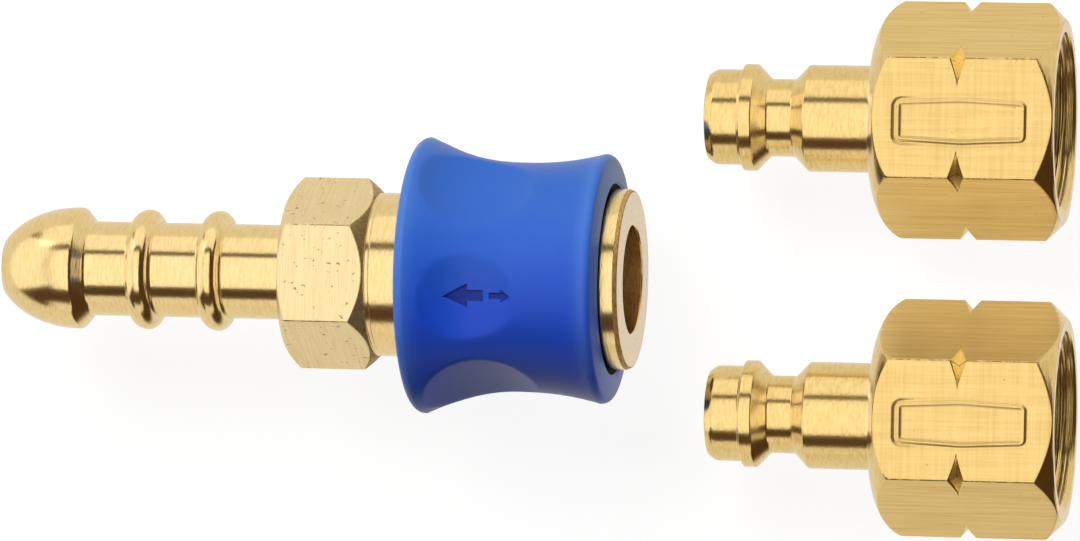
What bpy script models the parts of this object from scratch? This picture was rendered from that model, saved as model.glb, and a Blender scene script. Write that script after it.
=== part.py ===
"""Quick release gas coupling for a hose, with the two plugs that it takes.

The coupling lies along X with its hose tail at -X and its mouth at +X. Pulling the sleeve
towards the hose frees six locking balls, and a plug pushed into the mouth opens the valve.
Every piece is modelled in millimetres times MM, which gives metres. +Z is up, and the set
lies on the plane z = 0 with the origin under the middle of its box.
"""
import math

import bmesh
import bpy
from mathutils import Matrix

MM = 0.001

# Clearances
RUNNING_GAP = 0.30 * MM
END_GAP = 0.60 * MM
SEAT_GAP = 0.10 * MM
THREAD_GAP = 0.20 * MM

# Plug, from its nose to its female thread
NOSE_DIAMETER = 8.82 * MM
NOSE_LENGTH = 3.35 * MM
NOSE_CHAMFER = 0.45 * MM
NOSE_CHAMFER_LENGTH = 0.68 * MM
FLANGE_DIAMETER = 9.86 * MM
FLANGE_WIDTH = 1.10 * MM
GROOVE_DIAMETER = 7.16 * MM
GROOVE_WIDTH = 2.30 * MM
GROOVE_FLANK = 1.30 * MM
SHOULDER_LENGTH = 6.15 * MM
PLUG_BORE = 5.00 * MM
PLUG_HEX_FLATS = 19.0 * MM
PLUG_HEX_LENGTH = 17.50 * MM
PLUG_DOME_LENGTH = 3.85 * MM
PLUG_DOME_START = 11.6 * MM
PLUG_END_STEP = 0.15 * MM
NOTCH_DEPTH = 1.00 * MM
NOTCH_WIDTH = 1.60 * MM
THREAD_BORE = 15.0 * MM
THREAD_DEPTH = 11.8 * MM
THREAD_LEAD_IN = 0.90 * MM
WASHER_THICKNESS = 1.80 * MM
WASHER_BORE = 6.40 * MM
PLUG_SPACING = 27.4 * MM
PLUG_CLEAR_OF_MOUTH = 6.70 * MM
PLUG_STAGGER = 0.30 * MM
COUPLING_OFFSET = 1.54 * MM

# Socket body
PLUG_FIT = 0.07 * MM
NOSE_FIT = 0.14 * MM
PLUG_SEATING_GAP = 0.95 * MM
MOUTH_LEAD_IN = 0.50 * MM
MOUTH_LEAD_DEPTH = 0.20 * MM
MOUTH_RING_DIAMETER = 16.7 * MM
MOUTH_RING_WIDTH = 1.70 * MM
MOUTH_EDGE_WIDTH = 0.45 * MM
MOUTH_EDGE_DEPTH = 0.15 * MM
BODY_WALL = 1.40 * MM
SPIGOT_LENGTH = 4.40 * MM
SPIGOT_WALL = 0.75 * MM
SEAT_LIP_WIDTH = 0.90 * MM

# Locking balls
BALL_COUNT = 6
BALL_DIAMETER = 3.00 * MM
BALL_GRIP_GAP = 0.12 * MM

# Valve and seals
VALVE_TRAVEL = 3.30 * MM
CROWN_DIAMETER = 6.80 * MM
CROWN_WALL = 1.10 * MM
CROWN_PORT = 2.00 * MM
CROWN_PORT_COUNT = 4
VALVE_HEAD_OVERHANG = 1.10 * MM
VALVE_HEAD_THICKNESS = 1.30 * MM
VALVE_FLOW_GAP = 0.45 * MM
VALVE_BOSS_DIAMETER = 4.80 * MM
VALVE_BOSS_LENGTH = 1.20 * MM
VALVE_SEAL_THICKNESS = 0.90 * MM
VALVE_WIRE = 0.60 * MM
VALVE_SPRING_LENGTH = 10.6 * MM
VALVE_SPRING_TURNS = 6
RING_SECTION = 1.20 * MM
RING_SQUEEZE = 0.06 * MM
BODY_SEAL_THICKNESS = 0.90 * MM

# Release sleeve and its metal liner
SLEEVE_TRAVEL = 3.50 * MM
SLEEVE_LENGTH = 18.7 * MM
SLEEVE_SETBACK = 1.33 * MM
LINER_WALL = 0.50 * MM
LINER_GUIDE_LENGTH = 1.50 * MM
LINER_LIP_WIDTH = 0.60 * MM
LINER_LIP_HEIGHT = 0.50 * MM
LINER_REAR_INSET = 0.60 * MM
LAND_PAST_BALL = 0.25 * MM
SLEEVE_WIRE = 0.70 * MM
SLEEVE_SPRING_LENGTH = 7.35 * MM
SLEEVE_SPRING_TURNS = 4
WAIST_WALL = 1.66 * MM
WAIST_SETBACK = 9.60 * MM
REAR_FLARE = 2.18 * MM
REAR_ROUNDING = 0.85 * MM
MOUTH_FLARE = 0.95 * MM
MOUTH_CREST_SETBACK = 1.36 * MM
MOUTH_ROUNDING = 0.35 * MM
MOUTH_LIP_WIDTH = 0.20 * MM
SLEEVE_EDGE = 0.30 * MM
SNAP_WIRE = 0.70 * MM
SNAP_RING_INSET = 2.00 * MM

# Finger scoops round the sleeve; the pair that carries the arrows is shallower
SCOOP_COUNT = 6
SCOOP_RADIUS = 8.90 * MM
SCOOP_DEPTH = 0.90 * MM
ARROW_SCOOP_DEPTH = 0.50 * MM
SCOOP_SETBACK = 12.1 * MM
SCOOP_LENGTH = 10.4 * MM
SCOOP_PHASE = math.radians(-10.5)

# Hose tail
COLLAR_STEP = 0.15 * MM
COLLAR_PAST_SPRING = 0.20 * MM
HEX_LENGTH = 8.20 * MM
HEX_REAR_CHAMFER = 0.75 * MM
TAIL_LENGTH = 27.55 * MM
TUBE_DIAMETER = 8.80 * MM
TAIL_BORE = 4.50 * MM
BARB_DIAMETER = 11.35 * MM
BARB_NOSE_LENGTH = 6.90 * MM
BARB_END_DIAMETER = 5.50 * MM
BARB_LAND = 0.35 * MM
BARB_BACK_LENGTH = 1.10 * MM
BEAD_DIAMETER = 11.2 * MM
BEAD_PITCH = 6.75 * MM
BEAD_REAR_WIDTH = 1.40 * MM
BEAD_FRONT_WIDTH = 1.05 * MM
TAIL_CHAMBER_GAP = 0.90 * MM

# Springs
CLOSED_TURN_PITCH = 1.15

# Facets
WIDE_SEGMENTS = 40
ROUND_SEGMENTS = 28
SECTION_SEGMENTS = 8
BALL_SEGMENTS = 12
SCOOP_SEGMENTS = 64
ARC_STEPS = 5
DOME_STEPS = 4
EDGE_STEPS = 3
WIRE_POINTS_PER_TURN = 12


# Scene and materials

def clear_scene():
    for existing in list(bpy.data.objects):
        bpy.data.objects.remove(existing, do_unlink=True)


def new_collection(name):
    collection = bpy.data.collections.new(name)
    bpy.context.scene.collection.children.link(collection)
    return collection


def plain_material(name, colour, roughness, metallic):
    material = bpy.data.materials.new(name)
    material.use_nodes = True
    shader = material.node_tree.nodes["Principled BSDF"]
    shader.inputs["Base Color"].default_value = (*colour, 1.0)
    shader.inputs["Roughness"].default_value = roughness
    shader.inputs["Metallic"].default_value = metallic
    material.diffuse_color = (*colour, 1.0)
    return material


def link_part(name, data, material, axis):
    part = bpy.data.objects.new(name, data)
    part.parent = axis
    data.materials.append(material)
    parts.objects.link(part)
    return part


def make_cutter(name, data, axis):
    cutter = bpy.data.objects.new(name, data)
    cutter.parent = axis
    cutter.hide_render = True
    cutter.display_type = "WIRE"
    cutters.objects.link(cutter)
    return cutter


def make_axis(name, location):
    """An empty whose Z runs along the world's +X, so turned pieces hang on it as they are drawn."""
    axis = bpy.data.objects.new(name, None)
    axis.empty_display_size = 5 * MM
    axis.location = location
    axis.rotation_euler = (0.0, math.pi / 2, 0.0)
    parts.objects.link(axis)
    return axis


# Outlines, as (place along the axis, radius)

def quarter(centre, start, end, steps=ARC_STEPS):
    """Points of a quarter ellipse round centre, from start to end."""
    points = []
    for step in range(steps + 1):
        angle = math.pi / 2 * step / steps
        near = math.cos(angle)
        far = math.sin(angle)
        along = centre[0] + (start[0] - centre[0]) * near + (end[0] - centre[0]) * far
        radius = centre[1] + (start[1] - centre[1]) * near + (end[1] - centre[1]) * far
        points.append((along, radius))
    return points


def sag_curve(low, high, steps=ARC_STEPS):
    """A circular arc that leaves the low point level with the axis and climbs to the high point."""
    run = high[0] - low[0]
    rise = high[1] - low[1]
    bend = (run * run + rise * rise) / (2 * rise)
    points = []
    for step in range(steps + 1):
        along = run * step / steps
        points.append((low[0] + along, low[1] + bend - math.sqrt(bend * bend - along * along)))
    return points


def rounded_bevel(crest, edge, rounding, steps=EDGE_STEPS):
    """An arc that leaves the crest level with the axis, then its tangent down to the edge."""
    centre = (crest[0], crest[1] - rounding)
    run = edge[0] - centre[0]
    rise = edge[1] - centre[1]
    finish = math.atan2(rise, run) + math.acos(rounding / math.hypot(run, rise))
    points = []
    for step in range(steps + 1):
        angle = math.pi / 2 + (finish - math.pi / 2) * step / steps
        points.append((centre[0] + rounding * math.cos(angle), centre[1] + rounding * math.sin(angle)))
    return points + [edge]


def turned(name, outer, inner, material, axis, segments=ROUND_SEGMENTS):
    """A turned piece from its outer and inner outlines, both drawn from -X to +X."""
    outline = [(radius, 0.0, along) for along, radius in list(reversed(outer)) + list(inner)]
    count = len(outline)
    last = count if inner else count - 1
    mesh = bpy.data.meshes.new(name)
    mesh.from_pydata(outline, [(index, (index + 1) % count) for index in range(last)], [])
    part = link_part(name, mesh, material, axis)
    screw = part.modifiers.new("Turn", "SCREW")
    screw.steps = segments
    screw.render_steps = segments
    screw.use_merge_vertices = True
    screw.merge_threshold = 0.001 * MM
    screw.use_smooth_shade = True
    return part


def cut(part, cutter):
    boolean = part.modifiers.new(cutter.name, "BOOLEAN")
    boolean.operation = "DIFFERENCE"
    boolean.solver = "EXACT"
    boolean.object = cutter


def hexagon_cutter(name, across_flats, start, end, axis):
    """A thick hexagonal tube: what a bar loses when its flats are milled between start and end."""
    mesh = bpy.data.meshes.new(name)
    shape = bmesh.new()
    bmesh.ops.create_cone(
        shape, cap_ends=False, segments=6, radius1=across_flats / math.sqrt(3),
        radius2=across_flats / math.sqrt(3), depth=end - start,
        matrix=Matrix.Translation((0, 0, (start + end) / 2)),
    )
    corner = max(shape.verts, key=lambda vertex: vertex.co.y)
    turn = math.pi / 2 - math.atan2(corner.co.y, corner.co.x)
    bmesh.ops.rotate(shape, verts=shape.verts, cent=(0, 0, 0), matrix=Matrix.Rotation(turn, 3, "Z"))
    shape.to_mesh(mesh)
    shape.free()
    cutter = make_cutter(name, mesh, axis)
    solidify = cutter.modifiers.new("Stock", "SOLIDIFY")
    solidify.thickness = across_flats / 4
    solidify.offset = 1.0
    solidify.use_even_offset = True
    return cutter


def radial_drills(name, count, diameter, place, reach, axis):
    """Cylinders that point away from the axis all round it, from reach[0] to reach[1]."""
    mesh = bpy.data.meshes.new(name)
    shape = bmesh.new()
    for index in range(count):
        spin = Matrix.Rotation(2 * math.pi * index / count, 4, "Z")
        lay = Matrix.Rotation(math.pi / 2, 4, "Y")
        move = Matrix.Translation(((reach[0] + reach[1]) / 2, 0, place))
        bmesh.ops.create_cone(
            shape, cap_ends=True, segments=ROUND_SEGMENTS // 2, radius1=diameter / 2,
            radius2=diameter / 2, depth=reach[1] - reach[0], matrix=spin @ move @ lay,
        )
    shape.to_mesh(mesh)
    shape.free()
    return make_cutter(name, mesh, axis)


def coil(name, wire, mean_radius, start, end, turns, material, axis):
    """A compression spring with a closed turn at each end, between two seats."""
    low = start + wire / 2 + SEAT_GAP
    high = end - wire / 2 - SEAT_GAP
    closed_pitch = wire * CLOSED_TURN_PITCH
    open_pitch = (high - low - 2 * closed_pitch) / (turns - 2)
    curve = bpy.data.curves.new(name, "CURVE")
    curve.dimensions = "3D"
    curve.bevel_depth = wire / 2
    curve.bevel_resolution = 2
    curve.use_fill_caps = True
    total = turns * WIRE_POINTS_PER_TURN
    spline = curve.splines.new("POLY")
    spline.points.add(total)
    for index in range(total + 1):
        turn = index / WIRE_POINTS_PER_TURN
        middle = min(max(turn - 1, 0), turns - 2)
        ends = turn - middle
        height = low + middle * open_pitch + ends * closed_pitch
        angle = 2 * math.pi * turn
        place = (mean_radius * math.cos(angle), mean_radius * math.sin(angle), height)
        spline.points[index].co = (*place, 1.0)
    return link_part(name, curve, material, axis)


def ring(name, mean_radius, section, place, material, axis):
    """An O-ring or wire ring of round section."""
    bpy.ops.mesh.primitive_torus_add(
        major_segments=ROUND_SEGMENTS, minor_segments=SECTION_SEGMENTS, major_radius=mean_radius,
        minor_radius=section / 2,
    )
    part = bpy.context.object
    part.name = name
    part.data.name = name
    part.data.shade_smooth()
    part.data.materials.append(material)
    part.parent = axis
    part.location = (0.0, 0.0, place)
    for collection in list(part.users_collection):
        collection.objects.unlink(part)
    parts.objects.link(part)
    return part


# Radii that follow from the plug, from the inside outwards
nose_radius = NOSE_DIAMETER / 2
flange_radius = FLANGE_DIAMETER / 2
groove_radius = GROOVE_DIAMETER / 2
ball_radius = BALL_DIAMETER / 2
bore_radius = flange_radius + PLUG_FIT
nose_bore_radius = nose_radius + NOSE_FIT
body_radius = bore_radius + BODY_WALL
mouth_ring_radius = MOUTH_RING_DIAMETER / 2
ball_circle = groove_radius + BALL_GRIP_GAP + ball_radius
ball_travel = bore_radius + PLUG_FIT - (ball_circle - ball_radius)
land_radius = ball_circle + ball_radius + RUNNING_GAP
recess_radius = ball_circle + ball_radius + ball_travel + RUNNING_GAP
guide_radius = body_radius + RUNNING_GAP
sleeve_spring_radius = guide_radius + SLEEVE_WIRE / 2
collar_radius = sleeve_spring_radius + SLEEVE_WIRE / 2 + COLLAR_PAST_SPRING
hex_flats = 2 * (collar_radius + COLLAR_STEP)
skirt_radius = collar_radius + RUNNING_GAP
liner_radius = recess_radius + LINER_WALL
sleeve_bore_radius = liner_radius + SEAT_GAP
waist_radius = sleeve_bore_radius + WAIST_WALL
rim_radius = waist_radius + REAR_FLARE
mouth_rim_radius = waist_radius + MOUTH_FLARE
crown_radius = CROWN_DIAMETER / 2
valve_head_radius = crown_radius + VALVE_HEAD_OVERHANG
chamber_radius = valve_head_radius + VALVE_FLOW_GAP
spigot_radius = chamber_radius + SPIGOT_WALL
socket_radius = spigot_radius + THREAD_GAP
valve_spring_radius = VALVE_BOSS_DIAMETER / 2 + RUNNING_GAP + VALVE_WIRE / 2
tail_chamber_radius = valve_spring_radius + VALVE_WIRE / 2 + TAIL_CHAMBER_GAP

# Places along the plug, from its nose
flange_start = NOSE_LENGTH
flange_end = flange_start + FLANGE_WIDTH
groove_start = flange_end + GROOVE_FLANK
groove_end = groove_start + GROOVE_WIDTH
shoulder_start = groove_end + GROOVE_FLANK
plug_hex_start = shoulder_start + SHOULDER_LENGTH
plug_length = plug_hex_start + PLUG_HEX_LENGTH
groove_middle = (groove_start + groove_end) / 2

# Places along the coupling, from the flat face of its mouth at zero back to the hose
ball_place = PLUG_SEATING_GAP - (plug_hex_start - groove_middle)
nose_tip_latched = ball_place - groove_middle
nose_bore_place = ball_place - (groove_middle - flange_start) - END_GAP
seal_place = nose_bore_place - RING_SECTION
seat_lip_front = nose_tip_latched - END_GAP
seat_lip_rear = seat_lip_front - SEAT_LIP_WIDTH
valve_seal_front = seat_lip_rear - SEAT_GAP
valve_head_front = valve_seal_front - VALVE_SEAL_THICKNESS - SEAT_GAP
valve_head_rear = valve_head_front - VALVE_HEAD_THICKNESS
valve_tip = nose_tip_latched + VALVE_TRAVEL
tail_chamber_floor = valve_head_rear - VALVE_SPRING_LENGTH
mouth_ring_rear = -MOUTH_RING_WIDTH
liner_front = mouth_ring_rear - SEAT_GAP
guide_front = ball_place - ball_radius - RUNNING_GAP
guide_rear = guide_front - LINER_GUIDE_LENGTH
land_front = ball_place + LAND_PAST_BALL
collar_front = guide_rear - SLEEVE_SPRING_LENGTH
body_shoulder = collar_front + THREAD_GAP
spigot_end = body_shoulder - SPIGOT_LENGTH
body_seal_rear = spigot_end - BODY_SEAL_THICKNESS - SEAT_GAP
socket_floor = body_seal_rear - SEAT_GAP
sleeve_front = -SLEEVE_SETBACK
sleeve_rear = sleeve_front - SLEEVE_LENGTH
hex_front = sleeve_rear - SLEEVE_TRAVEL - RUNNING_GAP
hex_rear = hex_front - HEX_LENGTH
tail_end = hex_rear - TAIL_LENGTH

# The set on its table: the coupling lies off the plugs' middle, and one plug a little ahead
coupling_x = -(tail_end + PLUG_CLEAR_OF_MOUTH + plug_length + PLUG_STAGGER) / 2
plug_x = coupling_x + PLUG_CLEAR_OF_MOUTH

clear_scene()
parts = new_collection("quick_release_gas_coupling")
cutters = new_collection("cutters")

brass = plain_material("brass", (0.80, 0.58, 0.27), 0.22, 1.0)
blue_plastic = plain_material("blue_plastic", (0.035, 0.12, 0.55), 0.38, 0.0)
steel = plain_material("steel", (0.62, 0.62, 0.60), 0.15, 1.0)
spring_steel = plain_material("spring_steel", (0.45, 0.45, 0.46), 0.30, 1.0)
rubber = plain_material("rubber", (0.02, 0.02, 0.02), 0.70, 0.0)

coupling_axis = make_axis("coupling_axis", (coupling_x, -COUPLING_OFFSET, rim_radius))


# Hose tail: nose barb, two beads, hexagon, and the collar that the body screws into

def bead(crest, tube_radius, bead_radius):
    centre = (crest, tube_radius)
    rear = quarter(centre, (crest - BEAD_REAR_WIDTH, tube_radius), (crest, bead_radius), EDGE_STEPS)
    front = quarter(centre, (crest, bead_radius), (crest + BEAD_FRONT_WIDTH, tube_radius), EDGE_STEPS)
    return rear + front[1:]


def barb_nose(end, crest):
    """The rounded nose: part of an ellipse that is level with the axis at the crest."""
    barb_radius = BARB_DIAMETER / 2
    end_share = BARB_END_DIAMETER / BARB_DIAMETER
    half_length = (crest - end) / math.sqrt(1 - end_share * end_share)
    start_angle = math.acos((crest - end) / half_length)
    points = []
    for step in range(ARC_STEPS + 2):
        angle = start_angle + (math.pi / 2 - start_angle) * step / (ARC_STEPS + 1)
        points.append((crest - half_length * math.cos(angle), barb_radius * math.sin(angle)))
    return points


def make_hose_tail():
    tube_radius = TUBE_DIAMETER / 2
    bore = TAIL_BORE / 2
    corner = hex_flats / math.sqrt(3) + RUNNING_GAP
    flat = hex_flats / 2
    crest = tail_end + BARB_NOSE_LENGTH
    rear_slope = HEX_REAR_CHAMFER / (hex_flats / math.sqrt(3) - flat)
    outer = barb_nose(tail_end, crest)
    outer.append((crest + BARB_LAND, BARB_DIAMETER / 2))
    outer.append((crest + BARB_LAND + BARB_BACK_LENGTH, tube_radius))
    outer += bead(crest + BEAD_PITCH, tube_radius, BEAD_DIAMETER / 2)
    outer += bead(crest + 2 * BEAD_PITCH, tube_radius, BEAD_DIAMETER / 2)
    outer.append((hex_rear, tube_radius))
    outer.append((hex_rear, collar_radius))
    outer.append((hex_rear + (corner - collar_radius) * rear_slope, corner))
    outer.append((hex_front - (corner - collar_radius), corner))
    outer.append((hex_front, collar_radius))
    outer.append((collar_front, collar_radius))
    inner = [(tail_end, bore)]
    inner.append((tail_chamber_floor, bore))
    inner.append((tail_chamber_floor, tail_chamber_radius))
    inner.append((socket_floor, tail_chamber_radius))
    inner.append((socket_floor, socket_radius))
    inner.append((collar_front, socket_radius))
    part = turned("hose_tail", outer, inner, brass, coupling_axis)
    cut(part, hexagon_cutter("hose_tail_flats", hex_flats, hex_rear - MM, hex_front + MM, coupling_axis))


# Socket body: threaded spigot, valve seat, seal groove, ball holes and mouth ring

def make_socket_body():
    mouth_bore = bore_radius + MOUTH_LEAD_DEPTH
    groove_half = RING_SECTION / 2 + SEAT_GAP
    groove_depth = nose_radius - RING_SQUEEZE + RING_SECTION + SEAT_GAP
    outer = [
        (spigot_end, spigot_radius),
        (body_shoulder, spigot_radius),
        (body_shoulder, body_radius),
        (mouth_ring_rear, body_radius),
        (mouth_ring_rear, mouth_ring_radius),
        (-MOUTH_EDGE_WIDTH, mouth_ring_radius),
        (0.0, mouth_ring_radius - MOUTH_EDGE_DEPTH),
    ]
    inner = [
        (spigot_end, chamber_radius),
        (seat_lip_rear, chamber_radius),
        (seat_lip_rear, crown_radius + RUNNING_GAP),
        (seat_lip_front, crown_radius + RUNNING_GAP),
        (seat_lip_front, nose_bore_radius),
        (seal_place - groove_half, nose_bore_radius),
        (seal_place - groove_half, groove_depth),
        (seal_place + groove_half, groove_depth),
        (seal_place + groove_half, nose_bore_radius),
        (nose_bore_place, nose_bore_radius),
        (nose_bore_place + (bore_radius - nose_bore_radius), bore_radius),
        (-MOUTH_LEAD_IN, bore_radius),
        (0.0, mouth_bore),
    ]
    part = turned("socket_body", outer, inner, brass, coupling_axis)
    reach = (bore_radius - BODY_WALL / 2, body_radius + BODY_WALL / 2)
    hole = BALL_DIAMETER + END_GAP
    cut(part, radial_drills("ball_holes", BALL_COUNT, hole, ball_place, reach, coupling_axis))


def make_locking_balls():
    for index in range(BALL_COUNT):
        name = f"locking_ball_{index + 1}"
        angle = 2 * math.pi * index / BALL_COUNT
        mesh = bpy.data.meshes.new(name)
        shape = bmesh.new()
        bmesh.ops.create_uvsphere(
            shape, u_segments=BALL_SEGMENTS, v_segments=SECTION_SEGMENTS, radius=ball_radius,
        )
        shape.to_mesh(mesh)
        shape.free()
        mesh.shade_smooth()
        ball = link_part(name, mesh, steel, coupling_axis)
        ball.location = (ball_circle * math.cos(angle), ball_circle * math.sin(angle), ball_place)


# Valve: a hollow crown that the plug pushes, ports in its side, and a head that carries the seal

def make_valve():
    crown_bore = crown_radius - CROWN_WALL
    boss_radius = VALVE_BOSS_DIAMETER / 2
    outer = [
        (valve_head_rear - VALVE_BOSS_LENGTH, 0.0),
        (valve_head_rear - VALVE_BOSS_LENGTH, boss_radius),
        (valve_head_rear, boss_radius),
        (valve_head_rear, valve_head_radius),
        (valve_head_front, valve_head_radius),
        (valve_head_front, crown_radius),
        (valve_tip, crown_radius),
        (valve_tip, crown_bore),
        (valve_head_front, crown_bore),
        (valve_head_front, 0.0),
    ]
    poppet = turned("valve_poppet", outer, [], brass, coupling_axis)
    port_place = seat_lip_rear + CROWN_PORT / 2
    reach = (crown_bore - CROWN_WALL / 2, crown_radius + CROWN_WALL / 2)
    ports = radial_drills("crown_ports", CROWN_PORT_COUNT, CROWN_PORT, port_place, reach, coupling_axis)
    cut(poppet, ports)
    seal_rear = valve_seal_front - VALVE_SEAL_THICKNESS
    seal_bore = crown_radius + SEAT_GAP
    turned(
        "valve_seal", [(seal_rear, valve_head_radius), (valve_seal_front, valve_head_radius)],
        [(seal_rear, seal_bore), (valve_seal_front, seal_bore)], rubber, coupling_axis,
    )
    coil(
        "valve_spring", VALVE_WIRE, valve_spring_radius, tail_chamber_floor, valve_head_rear,
        VALVE_SPRING_TURNS, spring_steel, coupling_axis,
    )


def make_seals():
    ring_radius = nose_radius - RING_SQUEEZE + RING_SECTION / 2
    ring("socket_seal", ring_radius, RING_SECTION, seal_place, rubber, coupling_axis)
    body_seal_front = body_seal_rear + BODY_SEAL_THICKNESS
    turned(
        "body_seal", [(body_seal_rear, spigot_radius), (body_seal_front, spigot_radius)],
        [(body_seal_rear, chamber_radius), (body_seal_front, chamber_radius)], rubber, coupling_axis,
    )


# Liner: the metal ring in the sleeve, with the land that holds the balls in and the ramp that frees them

def make_liner():
    snap_place = sleeve_rear + SNAP_RING_INSET
    snap_half = SNAP_WIRE / 2 + SEAT_GAP
    liner_rear = sleeve_rear + LINER_REAR_INSET
    lip_rear = liner_front - LINER_LIP_WIDTH
    outer = [
        (liner_rear, liner_radius),
        (snap_place - snap_half, liner_radius),
        (snap_place - snap_half, liner_radius - snap_half),
        (snap_place + snap_half, liner_radius - snap_half),
        (snap_place + snap_half, liner_radius),
        (liner_front, liner_radius),
    ]
    inner = [
        (liner_rear, skirt_radius),
        (guide_rear, skirt_radius),
        (guide_rear, guide_radius),
        (guide_front, guide_radius),
        (guide_front, land_radius),
        (land_front, land_radius),
        (land_front + recess_radius - land_radius, recess_radius),
        (lip_rear, recess_radius),
        (lip_rear, recess_radius - LINER_LIP_HEIGHT),
        (liner_front, recess_radius - LINER_LIP_HEIGHT),
    ]
    turned("sleeve_liner", outer, inner, steel, coupling_axis)
    ring("liner_snap_ring", liner_radius, SNAP_WIRE, snap_place, spring_steel, coupling_axis)
    coil(
        "sleeve_spring", SLEEVE_WIRE, sleeve_spring_radius, collar_front, guide_rear,
        SLEEVE_SPRING_TURNS, spring_steel, coupling_axis,
    )


# Release sleeve: a waisted plastic grip with finger scoops

def scoop_cutter(name, indices, depth):
    """Cylinders laid across the sleeve, each of which cuts one finger scoop."""
    mesh = bpy.data.meshes.new(name)
    shape = bmesh.new()
    for index in indices:
        angle = math.pi - SCOOP_PHASE + 2 * math.pi * index / SCOOP_COUNT
        spin = Matrix.Rotation(angle, 4, "Z")
        move = Matrix.Translation((waist_radius - depth + SCOOP_RADIUS, 0, -SCOOP_SETBACK))
        lay = Matrix.Rotation(math.pi / 2, 4, "X")
        bmesh.ops.create_cone(
            shape, cap_ends=True, segments=SCOOP_SEGMENTS, radius1=SCOOP_RADIUS,
            radius2=SCOOP_RADIUS, depth=SCOOP_LENGTH, matrix=spin @ move @ lay,
        )
    shape.to_mesh(mesh)
    shape.free()
    return make_cutter(name, mesh, coupling_axis)


def make_sleeve():
    waist = (-WAIST_SETBACK, waist_radius)
    rear_crest = (sleeve_rear + REAR_ROUNDING, rim_radius)
    mouth_crest = (sleeve_front - MOUTH_CREST_SETBACK, mouth_rim_radius)
    opening = mouth_ring_radius + RUNNING_GAP + SEAT_GAP
    mouth_edge = (sleeve_front, opening + SLEEVE_EDGE + MOUTH_LIP_WIDTH)
    snap_place = sleeve_rear + SNAP_RING_INSET
    snap_half = SNAP_WIRE / 2 + SEAT_GAP
    shelf = liner_front + SEAT_GAP
    outer = quarter(
        (rear_crest[0], rim_radius - REAR_ROUNDING), (sleeve_rear, rim_radius - REAR_ROUNDING),
        rear_crest, EDGE_STEPS,
    )
    outer += list(reversed(sag_curve(waist, rear_crest)))[1:]
    outer += sag_curve(waist, mouth_crest)[1:]
    outer += rounded_bevel(mouth_crest, mouth_edge, MOUTH_ROUNDING)[1:]
    inner = [
        (sleeve_rear, sleeve_bore_radius + SLEEVE_EDGE),
        (sleeve_rear + SLEEVE_EDGE, sleeve_bore_radius),
        (snap_place - snap_half, sleeve_bore_radius),
        (snap_place - snap_half, liner_radius + snap_half),
        (snap_place + snap_half, liner_radius + snap_half),
        (snap_place + snap_half, sleeve_bore_radius),
        (shelf, sleeve_bore_radius),
        (shelf, opening),
        (sleeve_front - SLEEVE_EDGE, opening),
        (sleeve_front, opening + SLEEVE_EDGE),
    ]
    part = turned("release_sleeve", outer, inner, blue_plastic, coupling_axis, WIDE_SEGMENTS)
    pair = (0, SCOOP_COUNT // 2)
    others = [index for index in range(SCOOP_COUNT) if index not in pair]
    cut(part, scoop_cutter("arrow_scoops", pair, ARROW_SCOOP_DEPTH))
    cut(part, scoop_cutter("finger_scoops", others, SCOOP_DEPTH))


# Plugs: the male half, with a left-hand female thread behind its hexagon

def make_plug(number, side):
    place = (plug_x - side * PLUG_STAGGER, side * PLUG_SPACING / 2, PLUG_HEX_FLATS / 2)
    axis = make_axis(f"plug_{number}_axis", place)
    corner = PLUG_HEX_FLATS / math.sqrt(3)
    blank = corner + RUNNING_GAP
    flat = PLUG_HEX_FLATS / 2
    thread_radius = THREAD_BORE / 2
    end_circle = flat - PLUG_END_STEP
    notch_middle = plug_hex_start + PLUG_HEX_LENGTH / 2
    notch_half = NOTCH_WIDTH / 2 * (NOTCH_DEPTH + RUNNING_GAP) / NOTCH_DEPTH
    floor = plug_length - THREAD_DEPTH
    dome_start = (plug_hex_start, PLUG_DOME_START / 2)
    dome_end = (plug_hex_start + PLUG_DOME_LENGTH, blank)
    outer = [
        (0.0, nose_radius - NOSE_CHAMFER),
        (NOSE_CHAMFER_LENGTH, nose_radius),
        (flange_start - (flange_radius - nose_radius) / 2, nose_radius),
        (flange_start, flange_radius),
        (flange_end, flange_radius),
        (groove_start, groove_radius),
        (groove_end, groove_radius),
        (shoulder_start, flange_radius),
        (plug_hex_start, flange_radius),
    ]
    outer += quarter((dome_end[0], dome_start[1]), dome_start, dome_end, DOME_STEPS)
    outer += [
        (notch_middle - notch_half, blank),
        (notch_middle, corner - NOTCH_DEPTH),
        (notch_middle + notch_half, blank),
        (plug_length - (blank - end_circle), blank),
        (plug_length, end_circle),
    ]
    inner = [
        (0.0, PLUG_BORE / 2),
        (floor, PLUG_BORE / 2),
        (floor, thread_radius),
        (plug_length - THREAD_LEAD_IN, thread_radius),
        (plug_length, thread_radius + THREAD_LEAD_IN),
    ]
    plug = turned(f"plug_{number}", outer, inner, brass, axis)
    start = plug_hex_start - MM
    cut(plug, hexagon_cutter(f"plug_{number}_flats", PLUG_HEX_FLATS, start, plug_length + MM, axis))
    washer_rear = floor + SEAT_GAP
    washer_front = washer_rear + WASHER_THICKNESS
    washer_radius = thread_radius - SEAT_GAP
    turned(
        f"plug_{number}_washer", [(washer_rear, washer_radius), (washer_front, washer_radius)],
        [(washer_rear, WASHER_BORE / 2), (washer_front, WASHER_BORE / 2)], rubber, axis,
    )


make_hose_tail()
make_socket_body()
make_locking_balls()
make_valve()
make_seals()
make_liner()
make_sleeve()
make_plug(1, 1)
make_plug(2, -1)
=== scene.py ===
"""Looks of a quick release gas coupling and its two plugs: brass turned parts and a blue plastic sleeve.

Every piece is made in millimetres times MM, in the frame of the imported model, where the axes of the
coupling and of the plugs run along X. A place round such an axis is an angle from straight up, +Z,
towards +Y.
"""
import math

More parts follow.
